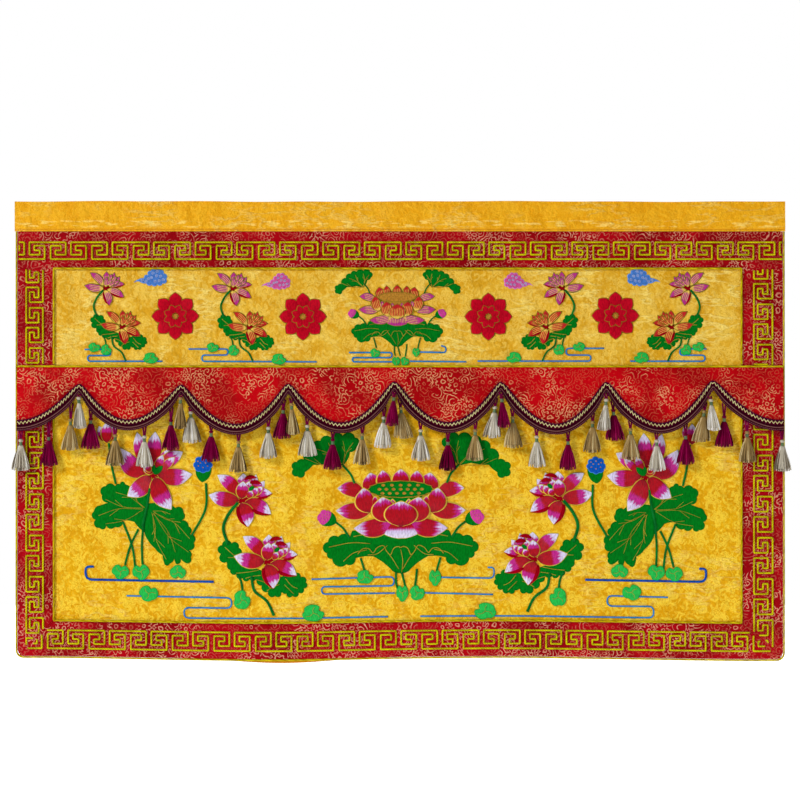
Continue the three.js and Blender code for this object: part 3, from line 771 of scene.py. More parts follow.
OLIVE = tone(200, 178, 44)
CRIMSON = tone(180, 0, 20)
DEEP_CRIMSON = tone(136, 0, 14)
MAGENTA = tone(196, 34, 140)
LAVENDER = tone(216, 200, 240)
CREAM = tone(236, 196, 84)
SILKS = {
    "lotus": silk("crimson and white lotus silk", ((0.0, DEEP_CRIMSON), (0.25, CRIMSON), (0.48, CRIMSON),
                  (0.53, MAGENTA), (0.69, MAGENTA), (0.74, LAVENDER), (1.0, tone(236, 232, 252))),
                  rim=OLIVE),
    "great": silk("great lotus silk", ((0.0, DEEP_CRIMSON), (0.2, CRIMSON), (0.66, CRIMSON), (0.72, MAGENTA),
                  (0.82, MAGENTA), (0.89, LAVENDER), (1.0, tone(236, 232, 252))), ragged=0.26,
                  rim=tone(214, 184, 60), rim_width=2.6),
    "foot": silk("magenta footed lotus silk", ((0.0, MAGENTA), (0.22, MAGENTA), (0.32, CRIMSON),
                 (0.66, CRIMSON), (0.71, MAGENTA), (0.82, LAVENDER), (1.0, LAVENDER)), rim=OLIVE),
    "bowl": silk("white bowl lotus silk", ((0.0, CRIMSON), (0.42, CRIMSON), (0.48, MAGENTA),
                 (0.58, LAVENDER), (1.0, tone(240, 236, 252))), rim=OLIVE),
    "cream_magenta": silk("cream and magenta lotus silk", ((0.0, CREAM), (1.0, CREAM)),
                          rim=tone(120, 110, 20), stripe=tone(188, 44, 140)),
    "cream_crimson": silk("cream and crimson lotus silk", ((0.0, CREAM), (1.0, CREAM)),
                          rim=tone(120, 110, 20), stripe=tone(196, 24, 40)),
    "turned": silk("dark turned petal silk", ((0.0, DEEP_CRIMSON), (1.0, tone(170, 0, 26)))),
    "leaf": silk("dark green leaf silk", ((0.0, tone(0, 112, 22)), (1.0, tone(4, 128, 32))),
                 rim=tone(0, 98, 26)),
    "pad": silk("light green pad silk", ((0.0, tone(26, 176, 66)), (1.0, tone(54, 206, 92))),
                rim=tone(30, 158, 62)),
    "pod_blue": silk("blue pod silk", ((0.0, tone(8, 74, 178)), (1.0, tone(24, 98, 200))),
                     rim=tone(60, 120, 200)),
    "pod_pink": silk("pink pod silk", ((0.0, tone(206, 48, 150)), (1.0, tone(224, 80, 170)))),
    "gold": silk("gold spot silk", ((0.0, tone(170, 112, 30)), (1.0, tone(206, 150, 60)))),
    "cloud_blue": silk("blue cloud silk", ((0.0, tone(64, 116, 200)), (1.0, tone(84, 136, 212))),
                       rim=tone(90, 144, 220)),
    "cloud_pink": silk("pink cloud silk", ((0.0, tone(204, 70, 140)), (1.0, tone(216, 92, 160))),
                       rim=tone(200, 120, 200)),
    "rosette": silk("red rosette silk", ((0.0, tone(176, 6, 28)), (1.0, tone(206, 12, 40))),
                    rim=tone(112, 104, 14)),
}
works = {kind: [] for kind in SILKS}


def sew(kind, flat, lift, faces, stitches, turn=1):
    """Keeps a patch: its flat places, their height in the stitching, its faces and stitches."""
    x, z = flat.T
    points = hang(x, z, face_lift(x, z) + EMBROIDERY + lift)
    if turn < 0:
        faces = [face[::-1] for face in faces]
    works[kind].append((points, faces, stitches))


def petal(kind, spot, layer, foot, tip, width, bow=0, side=(-1, 1), begins=0.01,
          belly=0.6, point=0.72, fine=True):
    """A padded petal from foot to tip, as wide as given at its belly and bent by its bow. A side
    other than the whole makes it a sliver, such as a turned edge."""
    foot, tip = np.array(foot, float), np.array(tip, float)
    length = np.linalg.norm(tip - foot)
    ahead = (tip - foot) / length
    left = np.array((-ahead[1], ahead[0]))
    share = np.linspace(-1, 1, 7 if fine else 5)
    along = np.linspace(begins, 0.99, 13 if fine else 7)
    swell = along**belly * (1 - along) ** point
    swell /= (belly / (belly + point)) ** belly * (point / (belly + point)) ** point
    half = width / 2 * swell * (1 - 0.4 * np.clip((along - 0.72) / 0.28, 0, 1) ** 1.5)
    middle = foot + ahead * (length * along)[:, None] + left * (4 * bow * along * (1 - along))[:, None]
    place = side[0] + (side[1] - side[0]) * (share + 1) / 2
    flat = middle[:, None] + left * (half[:, None] * place[None])[..., None]
    across = half[:, None] * place[None]
    gap = np.minimum(half[:, None] * (1 - np.abs(share))[None] * (side[1] - side[0]) / 2,
                     (length * np.minimum(1.0, 1 - along))[:, None] + 0 * across)
    rise = np.sin(math.pi * np.clip(along, 0.02, 0.98)) ** 0.4
    dome = np.sqrt(np.clip(1 - share**2, 0, 1))[None] * rise[:, None]
    stitches = np.stack([across * spot.scale, along[:, None] + 0 * across, gap * spot.scale], axis=-1)
    columns = len(share)
    faces = [(i * columns + j, (i + 1) * columns + j, (i + 1) * columns + j + 1, i * columns + j + 1)
             for i in range(len(along) - 1) for j in range(columns - 1)]
    sew(kind, placed(spot, flat.reshape(-1, 2)), (layer * LAYER + PADDING * dome).ravel(), faces,
        stitches.reshape(-1, 3), spot.turn)


def inside_of(outline, places):
    """Whether each place lies inside a closed outline."""
    ends = np.roll(outline, -1, axis=0)
    x, z = places[:, 0, None], places[:, 1, None]
    spans = (outline[:, 1] > z) != (ends[:, 1] > z)
    rise = np.where(ends[:, 1] == outline[:, 1], 1, ends[:, 1] - outline[:, 1])
    crossing = outline[:, 0] + (z - outline[:, 1]) / rise * (ends[:, 0] - outline[:, 0])
    return (spans & (x < crossing)).sum(axis=1) % 2 == 1


def patch(kind, spot, layer, outline, cell=0.007):
    """A padded patch of any outline, filled with cells small enough to follow the cloth."""
    rim = spaced(np.vstack([outline, outline[:1]]) * spot.scale, 3.5)[:-1] / spot.scale
    rim = placed(spot, rim)
    dense = spaced(np.vstack([rim, rim[:1]]), 0.001)
    low, high = rim.min(axis=0), rim.max(axis=0)
    lattice = np.meshgrid(np.arange(low[0], high[0], cell), np.arange(low[1], high[1], cell))
    lattice = np.stack(lattice, axis=-1).reshape(-1, 2)
    tangent = np.roll(rim, -1, axis=0) - np.roll(rim, 1, axis=0)
    tangent /= np.maximum(np.linalg.norm(tangent, axis=1), 1e-9)[:, None]
    inset = rim + np.stack([-tangent[:, 1], tangent[:, 0]], axis=1) * 0.0016 * spot.turn
    fill = []
    for places, room in ((inset, 0.0013), (lattice, 0.0035)):
        places = places[inside_of(rim, places)]
        gap = np.linalg.norm(places[:, None] - dense[None], axis=2).min(axis=1)
        fill.append(places[gap > room])
    points = np.vstack([rim] + fill)
    edges = [(i, (i + 1) % len(rim)) for i in range(len(rim))]
    corners, _, faces, *_ = delaunay_2d_cdt([Vector(p) for p in points], edges, [], 1, 1e-7)
    flat = np.array([corner[:] for corner in corners])
    gap = np.linalg.norm(flat[:, None] - dense[None], axis=2).min(axis=1)
    dome = 1 - np.exp(-gap / 0.0018)
    stitches = np.stack([flat[:, 0] * 1000, 0.5 + 0 * gap, gap * 1000], axis=1)
    faces = [tuple(face) for face in faces]
    area = sum(flat[a][0] * (flat[b][1] - flat[c][1]) for a, b, c in
               [(f[0], f[1], f[2]) for f in faces] + [(f[1], f[2], f[0]) for f in faces]
               + [(f[2], f[0], f[1]) for f in faces])
    sew(kind, flat, layer * LAYER + PADDING * dome, faces, stitches, 1 if area > 0 else -1)


gold_runs, green_runs, water_runs, thick_water_runs, spiral_runs = [], [], [], [], []


def stitched_line(runs, spot, route, radius, layer=0):
    """Keeps a line of couched cord on a motif."""
    def lift(x, z):
        return face_lift(x, z) + EMBROIDERY + layer * LAYER + PADDING

    route = spaced(placed(spot, route))
    runs.append(cord(on_cloth(route, lift), radius, sides=5, flatness=0.7))


def smooth(points, steps=6):
    """A smooth route through points."""
    points = np.array(points, float)
    padded = np.vstack([2 * points[0] - points[1], points, 2 * points[-1] - points[-2]])
    route = []
    for a, b, c, d in zip(padded, padded[1:], padded[2:], padded[3:]):
        for t in np.arange(steps) / steps:
            route.append(0.5 * (2 * b + (c - a) * t + (2 * a - 5 * b + 4 * c - d) * t**2
                                + (3 * b - a - 3 * c + d) * t**3))
    return np.array(route + [points[-1]])


def scalloped(corners):
    """An outline through corners, each stretch after a corner an arc that stands out by a share of
    its chord."""
    outline = []
    for (x, z, bulge), (x_on, z_on, _) in zip(corners, corners[1:] + corners[:1]):
        chord = np.array((x_on - x, z_on - z), float)
        outward = np.array((chord[1], -chord[0]))
        half = 2 * math.atan(2 * bulge)
        for t in np.linspace(-1, 1, 9 if bulge else 3)[:-1]:
            run, out = (t, 0) if not bulge else (math.sin(half * t) / math.sin(half),
                                                 (math.cos(half * t) - math.cos(half)) / math.sin(half))
            outline.append(np.array((x, z)) + (chord * (1 + run) + outward * out) / 2)
    return np.array(outline)


def lobed_leaf(spot, layer, corners, foot, veins):
    """A lotus leaf with a scalloped edge through its corners, and gold veins from its foot."""
    patch("leaf", spot, layer, scalloped(list(corners)))
    for number, tip in enumerate(veins):
        way = np.array(tip, float) - foot
        aside = np.array((-way[1], way[0])) * 0.08 * (-1) ** number
        fork = foot + way * 0.55 + aside
        stitched_line(gold_runs, spot, smooth([foot + way * 0.06, fork, tip]), VEIN, layer + 0.3)
        twig = way * 0.22 + np.array((-way[1], way[0])) * 0.12 * (-1) ** (number + 1)
        stitched_line(gold_runs, spot, smooth([fork, fork + twig]), VEIN, layer + 0.3)


PAD_LAYER = 4


def lily_pad(spot, x, z, width, height, lean):
    """A small pad with a deep and a shallow notch in its rim, and a few gold stitches."""
    angles = np.linspace(0, 2 * math.pi, 33)[:-1]
    reach = np.ones(len(angles))
    for notch, depth in ((lean, 0.42), (lean + 135, 0.2), (lean + 225, 0.1)):
        off = (angles - math.radians(notch) + math.pi) % (2 * math.pi) - math.pi
        reach -= depth * np.exp(-((off / 0.27) ** 2))
    outline = np.stack([x + width / 2 * reach * np.cos(angles),
                        z + height / 2 * reach * np.sin(angles)], axis=1)
    patch("pad", spot, PAD_LAYER, outline)
    middle = np.array((x, z), float)
    for turn in (lean + 50, lean + 180, lean + 290):
        way = np.array((math.cos(math.radians(turn)) * width, math.sin(math.radians(turn)) * height))
        aside = np.array((-way[1], way[0]))
        line = smooth([middle, middle + way * 0.2 + aside * 0.06, middle + way * 0.36])
        stitched_line(gold_runs, spot, line, 0.0004, PAD_LAYER + 0.4)


def bloom(spot, kind, petals):
    """A flower of petals, some with a dark turned edge on one side. Its cream petals are slender."""
    slender = 0.84 if kind.startswith("cream") else 1.0
    for part in petals:
        foot, tip = (part.foot_x, part.foot_z), (part.tip_x, part.tip_z)
        width = part.width * slender
        petal(kind, spot, part.layer, foot, tip, width, part.bow)
        if part.turned:
            petal("turned", spot, part.layer + 0.5, foot, tip, width, part.bow,
                  side=(-1.12, -0.62), begins=0.12)


SIDE_LOTUS = (
    Petal(0, 6, 8, 6, 53, 30, 0, 0),
    Petal(0, 14, 12, 31, 51, 20, -3, 0),
    Petal(0, 20, 12, 48, 38, 20, -3, 0),
    Petal(1, 16, 4, 63, 13, 24, 5, 1),
    Petal(1, -2, 8, -46, 49, 29, -5, 0),
    Petal(2, -2, -1, -63, 10, 32, 3, 0),
    Petal(2, 8, -4, 61, -28, 30, 5, 1),
    Petal(3, 1, -5, 15, -53, 33, 4, 1),
    Petal(2, 26, 10, 44, 26, 15, 0, 0),
    Petal(3, 20, 6, 34, 24, 17, 0, 0),
    Petal(3, 12, 10, 18, 37, 19, 0, 0),
    Petal(4, 2, 2, 6, 37, 26, 0, 0),
    Petal(4, 14, 4, 24, 18, 15, 0, 0),
)


# The cream flowers have a fan of small petals at their heart
CREAM_HEART = (
    Petal(3, 22, 10, 46, 24, 17, 0, 0),
    Petal(3, 20, 14, 38, 38, 17, 0, 0),
    Petal(3, 14, 14, 22, 46, 17, 0, 0),
    Petal(4, 14, 6, 32, 20, 15, 0, 0),
    Petal(4, 10, 8, 22, 30, 15, 0, 0),
    Petal(4, 4, 4, 8, 36, 20, 0, 0),
)


def lotus_pair(spot, upper, lower):
    """Two side lotuses, one above the other, with their stems and leaves."""
    second = Spot(spot.x + spot.turn * spot.scale * 49.8, spot.z - spot.scale * 119.1, spot.scale, spot.turn)
    stitched_line(green_runs, spot, smooth([(-5, -5), (-24, -30), (-33, -56), (-24, -86)]),
                  0.0034 * spot.scale)
    stitched_line(green_runs, spot, smooth([(-5, -145), (2, -160), (5, -182)]), 0.0024 * spot.scale)
    stitched_line(green_runs, spot, smooth([(22, -148), (28, -176), (52, -196), (66, -224)]),
                  0.003 * spot.scale)
    patch("leaf", spot, 0, scalloped([(-36, -88, 0.45), (-38, -105, 0.45), (-27, -121, 0.4), (-10, -124, 0.2),
                                      (0, -108, 0.3), (-3, -93, 0.4), (-17, -84, 0.4)]))
    patch("leaf", spot, 0, scalloped([(-24, -122, 0.3), (-20, -136, 0.35), (-8, -144, 0.35), (4, -152, 0.35),
                                      (18, -154, 0.2), (32, -154, 0.3), (42, -166, 0.35), (54, -178, 0.4),
                                      (68, -186, 0.4), (80, -180, 0.3), (86, -166, 0), (60, -146, 0),
                                      (40, -136, 0), (0, -122, 0)]))
    patch("leaf", spot, 0, scalloped([(72, -154, 0.1), (82, -172, 0.35), (90, -182, 0.4), (102, -186, 0.4),
                                      (114, -180, 0.4), (124, -172, 0.4), (128, -160, 0.4), (118, -150, 0.4),
                                      (104, -144, 0.4), (92, -144, 0.3), (84, -148, 0.1)]))
    for vein in (((-30, -92), (-14, -106), (2, -116)), ((-24, -112), (-12, -112), (0, -114)),
                 ((-8, -142), (14, -140), (36, -136)), ((10, -152), (24, -148), (40, -146)),
                 ((52, -176), (64, -168), (76, -164)), ((88, -152), (100, -166), (112, -172)),
                 ((86, -164), (98, -176), (104, -182)), ((30, -154), (48, -160), (60, -172))):
        stitched_line(gold_runs, spot, smooth(vein), 0.0006, 0.4)
    for flower, kind in ((spot, upper), (second, lower)):
        patch("turned", flower, 0.2, scalloped([(-4, 4, 0.3), (4, -9, 0.3), (20, -2, 0.3), (16, 16, 0.3)]))
        if kind == "lotus":
            bloom(flower, kind, SIDE_LOTUS)
            petal("leaf", flower, 4, (17, 19), (27, 27), 8)
            petal("turned", flower, 3.4, (7, 40), (33, 43), 8, 3)
            petal("turned", flower, 3.6, (18, 33), (42, 31), 8, 3)
        else:
            bloom(flower, kind, SIDE_LOTUS[:8] + CREAM_HEART)


PAIRS = (
    (Spot(-312, -582, 1.0, 1), "lotus", "lotus"),
    (Spot(314, -579, 1.0, -1), "lotus", "lotus"),
    (Spot(-577, -170, 0.635, 1), "cream_magenta", "cream_crimson"),
    (Spot(-329, -171, 0.635, 1), "cream_magenta", "cream_crimson"),
    (Spot(319, -170, 0.635, -1), "cream_magenta", "cream_crimson"),
    (Spot(564, -170, 0.635, -1), "cream_magenta", "cream_crimson"),
)
for pair in PAIRS:
    lotus_pair(*pair)

OPEN_LOTUS = (
    Petal(0, -9, 14, -31, 85, 30, 3, 0),
    Petal(0, 0, 18, 5, 86, 32, 0, 0),
    Petal(0, 10, 14, 34, 52, 22, 0, 0),
    Petal(1, 14, 10, 60, 46, 30, 4, 0),
    Petal(1, -4, 0, -63, 54, 40, 13, 0),
    Petal(2, 0, 3, -19, 17, 17, 0, 0),
    Petal(2, 12, 6, 44, 36, 18, 0, 0),
    Petal(2, 6, 8, 20, 40, 18, 0, 0),
    Petal(2, -4, -2, -50, -42, 36, 4, 0),
    Petal(2, 8, 2, 78, 2, 36, -6, 0),
    Petal(3, 3, -4, 37, -68, 39, -5, 0),
    Petal(3, -4, 6, -14, 20, 14, 0, 0),
)


# The two great leaves' corners, in millimetres from the open lotus, and how far each stretch bulges
LEFT_LEAF = ((-4, -30, 0), (-40, -26, 0.05), (-54, -18, 0.5), (-64, -18, 0.2), (-74, -22, 0.3),
             (-92, -22, 0.35), (-99, -40, 0.3), (-87, -54, 0), (-103, -60, 0.2), (-115, -72, 0.35),
             (-112, -88, 0.38), (-104, -104, 0.38), (-91, -99, 0.3), (-74, -102, 0.3), (-58, -89, -0.06),
             (-36, -92, 0.05), (-16, -112, 0))
RIGHT_LEAF = ((-12, -56, 0), (-17, -103, 0.06), (-13, -122, 0.05), (4, -143, 0.08), (19, -156, 0.05),
              (22, -171, 0.4), (33, -173, 0.12), (42, -163, 0.05), (45, -173, 0.35), (54, -163, 0.05),
              (64, -171, 0.4), (74, -160, 0.25), (70, -146, 0.35), (80, -132, 0.38), (72, -115, 0.32),
              (70, -100, 0.24), (56, -88, 0.3), (60, -73, 0.35), (44, -64, 0.2), (22, -62, 0), (4, -54, 0))


def open_lotus_group(spot):
    """A wide open lotus over two great leaves, with a bud and a blue seed pod on long stems."""
    stitched_line(green_runs, spot, smooth([(-86, 62), (-80, 18), (-72, -18)]), 0.0024)
    for stem in (((-58, -92), (-40, -140), (-34, -182)), ((-28, -106), (-44, -140), (-54, -176)),
                 ((-18, -96), (-21, -136), (-20, -174))):
        stitched_line(green_runs, spot, smooth(stem), 0.0024)
    stitched_line(green_runs, spot, smooth([(104, -16), (103, -66), (76, -118)]), 0.0026)
    lobed_leaf(spot, 0, LEFT_LEAF, (-14, -66), ((-40, -34), (-72, -34), (-92, -48), (-106, -80), (-92, -96)))
    lobed_leaf(spot, 0.6, RIGHT_LEAF, (-2, -70), ((34, -76), (54, -92), (72, -124), (70, -150), (44, -150),
                                                  (26, -164), (2, -130)))
    stitched_line(green_runs, spot, smooth([(-6, -26), (-11, -60), (-20, -100)]), 0.0026, 1)
    patch("turned", spot, 0.2, scalloped([(-12, 8, 0.3), (0, -8, 0.3), (14, 2, 0.3), (8, 20, 0.3)]))
    bloom(spot, "lotus", OPEN_LOTUS)
    petal("leaf", spot, 4, (2, 2), (20, 18), 12)
    petal("leaf", spot, 4.3, (2, 4), (3, 20), 8)
    bud = Spot(spot.x - spot.turn * 92, spot.z + 66, 1, spot.turn)
    bloom(bud, "lotus", (Petal(0, 2, -2, -14, 30, 22, 0, 0), Petal(0, 4, -2, 18, 34, 22, 0, 0),
                         Petal(1, 2, -4, 2, 38, 24, 0, 0)))
    pod = Spot(spot.x + spot.turn * 98, spot.z + 16, 1, spot.turn)
    patch("leaf", pod, 0, scalloped([(-15, 2, 0), (-14, -14, 0.1), (-2, -30, 0.1), (12, -20, 0.1),
                                     (16, 4, 0)]))
    patch("pod_blue", pod, 1, scalloped([(-16, -2, 0.25), (-6, -9, 0.25), (6, -9, 0.25), (15, -2, 0.35),
                                         (15, 9, 0.35), (8, 18, 0.35), (-5, 19, 0.35), (-15, 10, 0.3)]))
    for x, z in ((-9, 2), (0, -1), (9, 2), (-5, 8), (5, 8), (0, 14), (-10, 11), (10, 12)):
        petal("gold", pod, 2, (x - 1.5, z), (x + 1.5, z), 2.6, fine=False)


OPEN_GROUPS = (Spot(-483, -534, 1, 1), Spot(480, -537, 1, -1))
for spot in OPEN_GROUPS:
    open_lotus_group(spot)

GREAT_BACK = (
    Petal(0, -46, 60, -60, 104, 42, 4, 0),
    Petal(0, 46, 60, 58, 104, 42, -4, 0),
    Petal(1, -30, 66, -36, 109, 32, 0, 0),
    Petal(1, 30, 66, 32, 108, 32, 0, 0),
    Petal(2, 0, 66, 0, 111, 38, 0, 0),
)
GREAT_SIDES = (
    Petal(0, -70, 58, -126, 72, 34, -6, 0),
    Petal(0, 70, 58, 126, 72, 34, 6, 0),
    Petal(1, -54, 34, -129, 29, 38, 4, 0),
    Petal(1, 54, 34, 129, 29, 38, -4, 0),
)
GREAT_LOWER = (Petal(2, -14, 8, -93, -6, 38, 7, 0), Petal(2, 14, 8, 93, -6, 38, -7, 0))
GREAT_FRONT = (
    Petal(4, -60, 24, -73, 74, 42, 4, 0),
    Petal(4, 60, 24, 73, 74, 42, -4, 0),
    Petal(5, -26, 6, -36, 56, 50, 3, 0),
    Petal(5, 26, 6, 36, 56, 50, -3, 0),
    Petal(6, 0, -3, 1, 48, 68, 0, 0),
)


def great_lotus_group(spot, back, sides, lower, front, pod_silk):
    """The middle flower: rows of petals round a wide seed head, on a broad lobed leaf."""
    for way in (-1, 1):
        stitched_line(green_runs, spot, smooth([(-113 * way, 117), (-98 * way, 100), (-90 * way, 82)]),
                      0.0024 * spot.scale)
        stitched_line(green_runs, spot, smooth([(-126 * way, 6), (-112 * way, -6), (-100 * way, -24)]),
                      0.0024 * spot.scale)
        stitched_line(green_runs, spot, smooth([(-78 * way, -64), (-72 * way, -84), (-69 * way, -98)]),
                      0.0024 * spot.scale)
    stitched_line(green_runs, spot, smooth([(-9, -92), (-9, -112), (-6, -124)]), 0.0024 * spot.scale)
    stitched_line(green_runs, spot, smooth([(2, -92), (5, -104), (10, -124)]), 0.0024 * spot.scale)
    stitched_line(green_runs, spot, smooth([(32, -86), (30, -106), (27, -126)]), 0.0024 * spot.scale)
    wing = [(-94, -10, 0.05), (-99, -22, 0.25), (-122, -22, 0.3), (-142, -32, 0.42), (-144, -54, 0.28),
            (-134, -65, 0.32), (-106, -76, 0.32), (-88, -64, -0.05), (-54, -61, -0.05), (-16, -90, 0.15)]
    across = [(-x, z) for x, z, _ in reversed(wing)]
    bulges = [bulge for _, _, bulge in wing]
    mirrored = [(x, z, bulge) for (x, z), bulge in zip(across, bulges[-2::-1] + [0])]
    patch("leaf", spot, 0, scalloped(wing + mirrored))
    for way in (-1, 1):
        for vein in (((-30, -14), (-60, -16), (-92, -22)), ((-60, -36), (-96, -34), (-140, -42)),
                     ((-66, -48), (-92, -54), (-112, -70)), ((-26, -40), (-46, -56), (-64, -58)),
                     ((-4, -86), (-16, -66), (-30, -48))):
            stitched_line(gold_runs, spot, smooth([(x * way, z) for x, z in vein]), 0.0007 * spot.scale, 0.6)
        frill = [(-84, -56), (-74, -46), (-62, -46), (-54, -54), (-46, -44), (-34, -40), (-28, -50),
                 (-20, -58), (-14, -46), (-6, -42), (0, -44)]
        stitched_line(gold_runs, spot, smooth([(x * way, z) for x, z in frill], 5), 0.0008 * spot.scale, 0.6)
    stitched_line(gold_runs, spot, smooth([(2, -92), (4, -70), (0, -48)]), 0.0007 * spot.scale, 0.6)
    bloom(spot, sides, GREAT_SIDES)
    bloom(spot, back, GREAT_BACK)
    angles = np.linspace(0, 2 * math.pi, 49)[:-1]
    ripple = 1 + 0.03 * np.cos(16 * angles)
    head = np.stack([63 * ripple * np.cos(angles), 70 + 16 * ripple * np.sin(angles)], axis=1)
    patch(pod_silk, spot, 3, np.array([(-52, 64), (-24, 40), (0, 34), (24, 40), (52, 64), (0, 72)]))
    patch(pod_silk, spot, 4, head)
    stitched_line(gold_runs, spot, np.vstack([head, head[:1]]), 0.0008 * spot.scale, 4.3)
    for row, count in ((78, 5), (70, 7), (62, 6)):
        for k in range(count):
            x = (k - (count - 1) / 2) * (88 / count) * (1.1 - abs(row - 70) / 60)
            petal("gold", spot, 5, (x - 4, row), (x + 4, row), 5.5, fine=False)
    for x, z in ((-50, 50), (-16, 44), (16, 44), (50, 50)):
        petal(sides, spot, 4, (x, z - 16), (x, z + 8), 16)
    petal("bowl" if lower == "foot" else lower, spot, 2, (1, 10), (2, -27), 74, belly=0.5, point=0.38)
    bloom(spot, lower, GREAT_LOWER)
    bloom(spot, front, GREAT_FRONT)
    for way in (-1, 1):
        pod = Spot(spot.x + way * spot.turn * 145 * spot.scale, spot.z + 13 * spot.scale, 0.88 * spot.scale,
                   spot.turn * way)
        patch("leaf", pod, 0, scalloped([(-12, 14, 0.15), (-22, -9, 0.15), (10, -14, 0.1), (8, 6, 0.1)]))
        patch("pod_pink", pod, 1, scalloped([(-11, 12, 0.12), (4, -12, 0.25), (16, -6, 0.3), (14, 12, 0.3),
                                             (0, 18, 0.25)]))
        for row in range(4):
            for column in range(3 + row % 2):
                x, z = -5 + row * 5 - 0.3 * column, 11 - row * 4.4 + (column - 1) * 5.6
                petal("gold", pod, 2, (x - 1.2, z), (x + 1.2, z), 2.0, fine=False)


great_lotus_group(Spot(1, -632, 1, 1), "great", "great", "foot", "great", "leaf")
great_lotus_group(Spot(-6, -228, 0.59, 1), "cream_crimson", "cream_magenta", "cream_magenta",
                  "cream_crimson", "gold")

# Arched leaves to each side of the middle flowers, their corners from the foot
ARCHED_LEAF = ((0, 0, 0.1), (14, 26, 0.2), (27, 36, 0.4), (24, 54, 0.35), (0, 58, 0.3), (-24, 55, 0.3),
               (-44, 48, 0.3), (-61, 33, 0.3), (-76, 12, 0.2), (-90, 7, 0.4), (-97, -7, 0.4),
               (-89, -21, 0.4), (-74, -13, 0.05), (-58, 1, 0.03), (-24, 5, 0))
ARCHED_LEAVES = (Spot(-112, -515, 1.0, 1), Spot(114, -516, 1.02, -1),
                 Spot(-72, -168, 0.56, 1), Spot(62, -168, 0.56, -1))
for spot in ARCHED_LEAVES:
    lobed_leaf(spot, 0, ARCHED_LEAF, (0, 0), ((20, 44), (0, 48), (-28, 44), (-50, 32), (-74, 14)))

LilyPad = namedtuple("LilyPad", "x z width height lean")
LILY_PADS = (
    LilyPad(-546, -723, 34, 30, 80), LilyPad(-506, -723, 34, 32, 100), LilyPad(-434, -723, 32, 28, 270),
    LilyPad(-491, -765, 38, 32, 70), LilyPad(-309, -776, 34, 38, 40), LilyPad(-170, -802, 44, 34, 30),
    LilyPad(428, -722, 34, 28, 270), LilyPad(500, -723, 34, 32, 80), LilyPad(535, -726, 34, 30, 100),
    LilyPad(452, -763, 38, 32, 110), LilyPad(308, -774, 34, 38, 140), LilyPad(166, -802, 44, 34, 150),
    LilyPad(-69, -733, 34, 28, 40), LilyPad(4, -765, 24, 34, 90), LilyPad(33, -765, 30, 30, 60),
    LilyPad(68, -735, 24, 34, 90),
    LilyPad(-597, -285, 24, 19, 60), LilyPad(-574, -290, 22, 22, 40), LilyPad(-487, -306, 30, 22, 30),
    LilyPad(-366, -285, 24, 19, 60), LilyPad(-325, -291, 22, 22, 40), LilyPad(-237, -308, 30, 22, 30),
    LilyPad(222, -305, 30, 22, 150), LilyPad(310, -290, 22, 22, 140), LilyPad(349, -284, 24, 19, 120),
    LilyPad(471, -305, 30, 22, 150), LilyPad(558, -290, 22, 22, 140), LilyPad(582, -284, 24, 19, 120),
    LilyPad(-49, -296, 20, 18, 60), LilyPad(-8, -312, 16, 20, 90), LilyPad(9, -312, 17, 18, 60),
    LilyPad(31, -294, 15, 19, 90),
)
OWN = Spot(0, 0, 1, 1)
for pad in LILY_PADS:
    lily_pad(OWN, *pad)

# Water: runs of couched blue cord, turned back on themselves in round ends
WATER = (
    ((-616, -289), (-565, -289), (-565, -301), (-610, -301), (-610, -312), (-464, -312)),
    ((-413, -288), (-336, -288), (-336, -300), (-387, -300), (-387, -312), (-163, -313)),
    ((398, -287), (324, -287), (324, -300), (372, -300), (372, -312), (151, -312)),
    ((598, -288), (546, -288), (546, -300), (595, -300), (595, -312), (449, -312)),
    ((-100, -295), (-16, -295), (-16, -305), (-93, -305), (-93, -313), (-10, -313)),
    ((39, -294), (89, -295), (89, -284), (80, -282)),
    ((19, -312), (129, -313)),
    ((-534, -770), (-329, -772), (-329, -792), (-422, -792), (-422, -812), (-24, -811)),
    ((523, -772), (404, -770), (404, -790), (495, -790), (495, -812), (39, -811)),
    ((-173, -736), (-12, -733), (-12, -751), (-153, -751), (-153, -765), (-10, -765)),
    ((80, -735), (183, -737), (183, -716), (171, -716)),
    ((46, -765), (181, -769)),
)
THICK_WATER = (((-598, -714), (-614, -714), (-614, -739), (-364, -741)),
               ((361, -739), (597, -741), (597, -716), (584, -716)))
for route in WATER:
    stitched_line(water_runs, OWN, rounded(route, 10), 0.0016)
for route in THICK_WATER:
    stitched_line(thick_water_runs, OWN, rounded(route, 14), 0.0024)

# Clouds: scalloped puffs with a tail, filled with small spirals
CLOUD = ((-38, -13, -0.15), (-26, -11, 0.1), (-14, -14, 0.25), (-3, -17, 0.3), (8, -16, 0.35),
         (18, -14, 0.4), (25, -5, 0.4), (20, 5, 0.35), (14, 12, 0.4), (5, 15, 0.4),
         (-4, 10, 0.4), (-10, 2, 0.35), (-18, -4, 0.1), (-28, -6, 0.1))
SPIRALS = ((-9, -5), (0, 6), (8, 9), (15, 0), (4, -10), (20, -7), (7, 1), (-3, -3), (12, -9),
           (-14, -10), (-21, -8))
CLOUDS = ((Spot(-482, -146, 1, 1), "cloud_blue"), (Spot(470, -146, 1, -1), "cloud_blue"),
          (Spot(-238, -155, 0.88, 1), "cloud_pink"), (Spot(226, -154, 0.88, -1), "cloud_pink"))
for spot, kind in CLOUDS:
    patch(kind, spot, 1, scalloped(list(CLOUD)))
    for x, z in SPIRALS:
        turns = np.linspace(0, 3.4 * math.pi, 26)
        reach = 0.4 + 2.7 * turns / turns[-1]
        spiral = np.stack([x + reach * np.cos(turns), z + reach * np.sin(turns)], axis=1)
        stitched_line(spiral_runs, spot, spiral, 0.0004, 1.3)

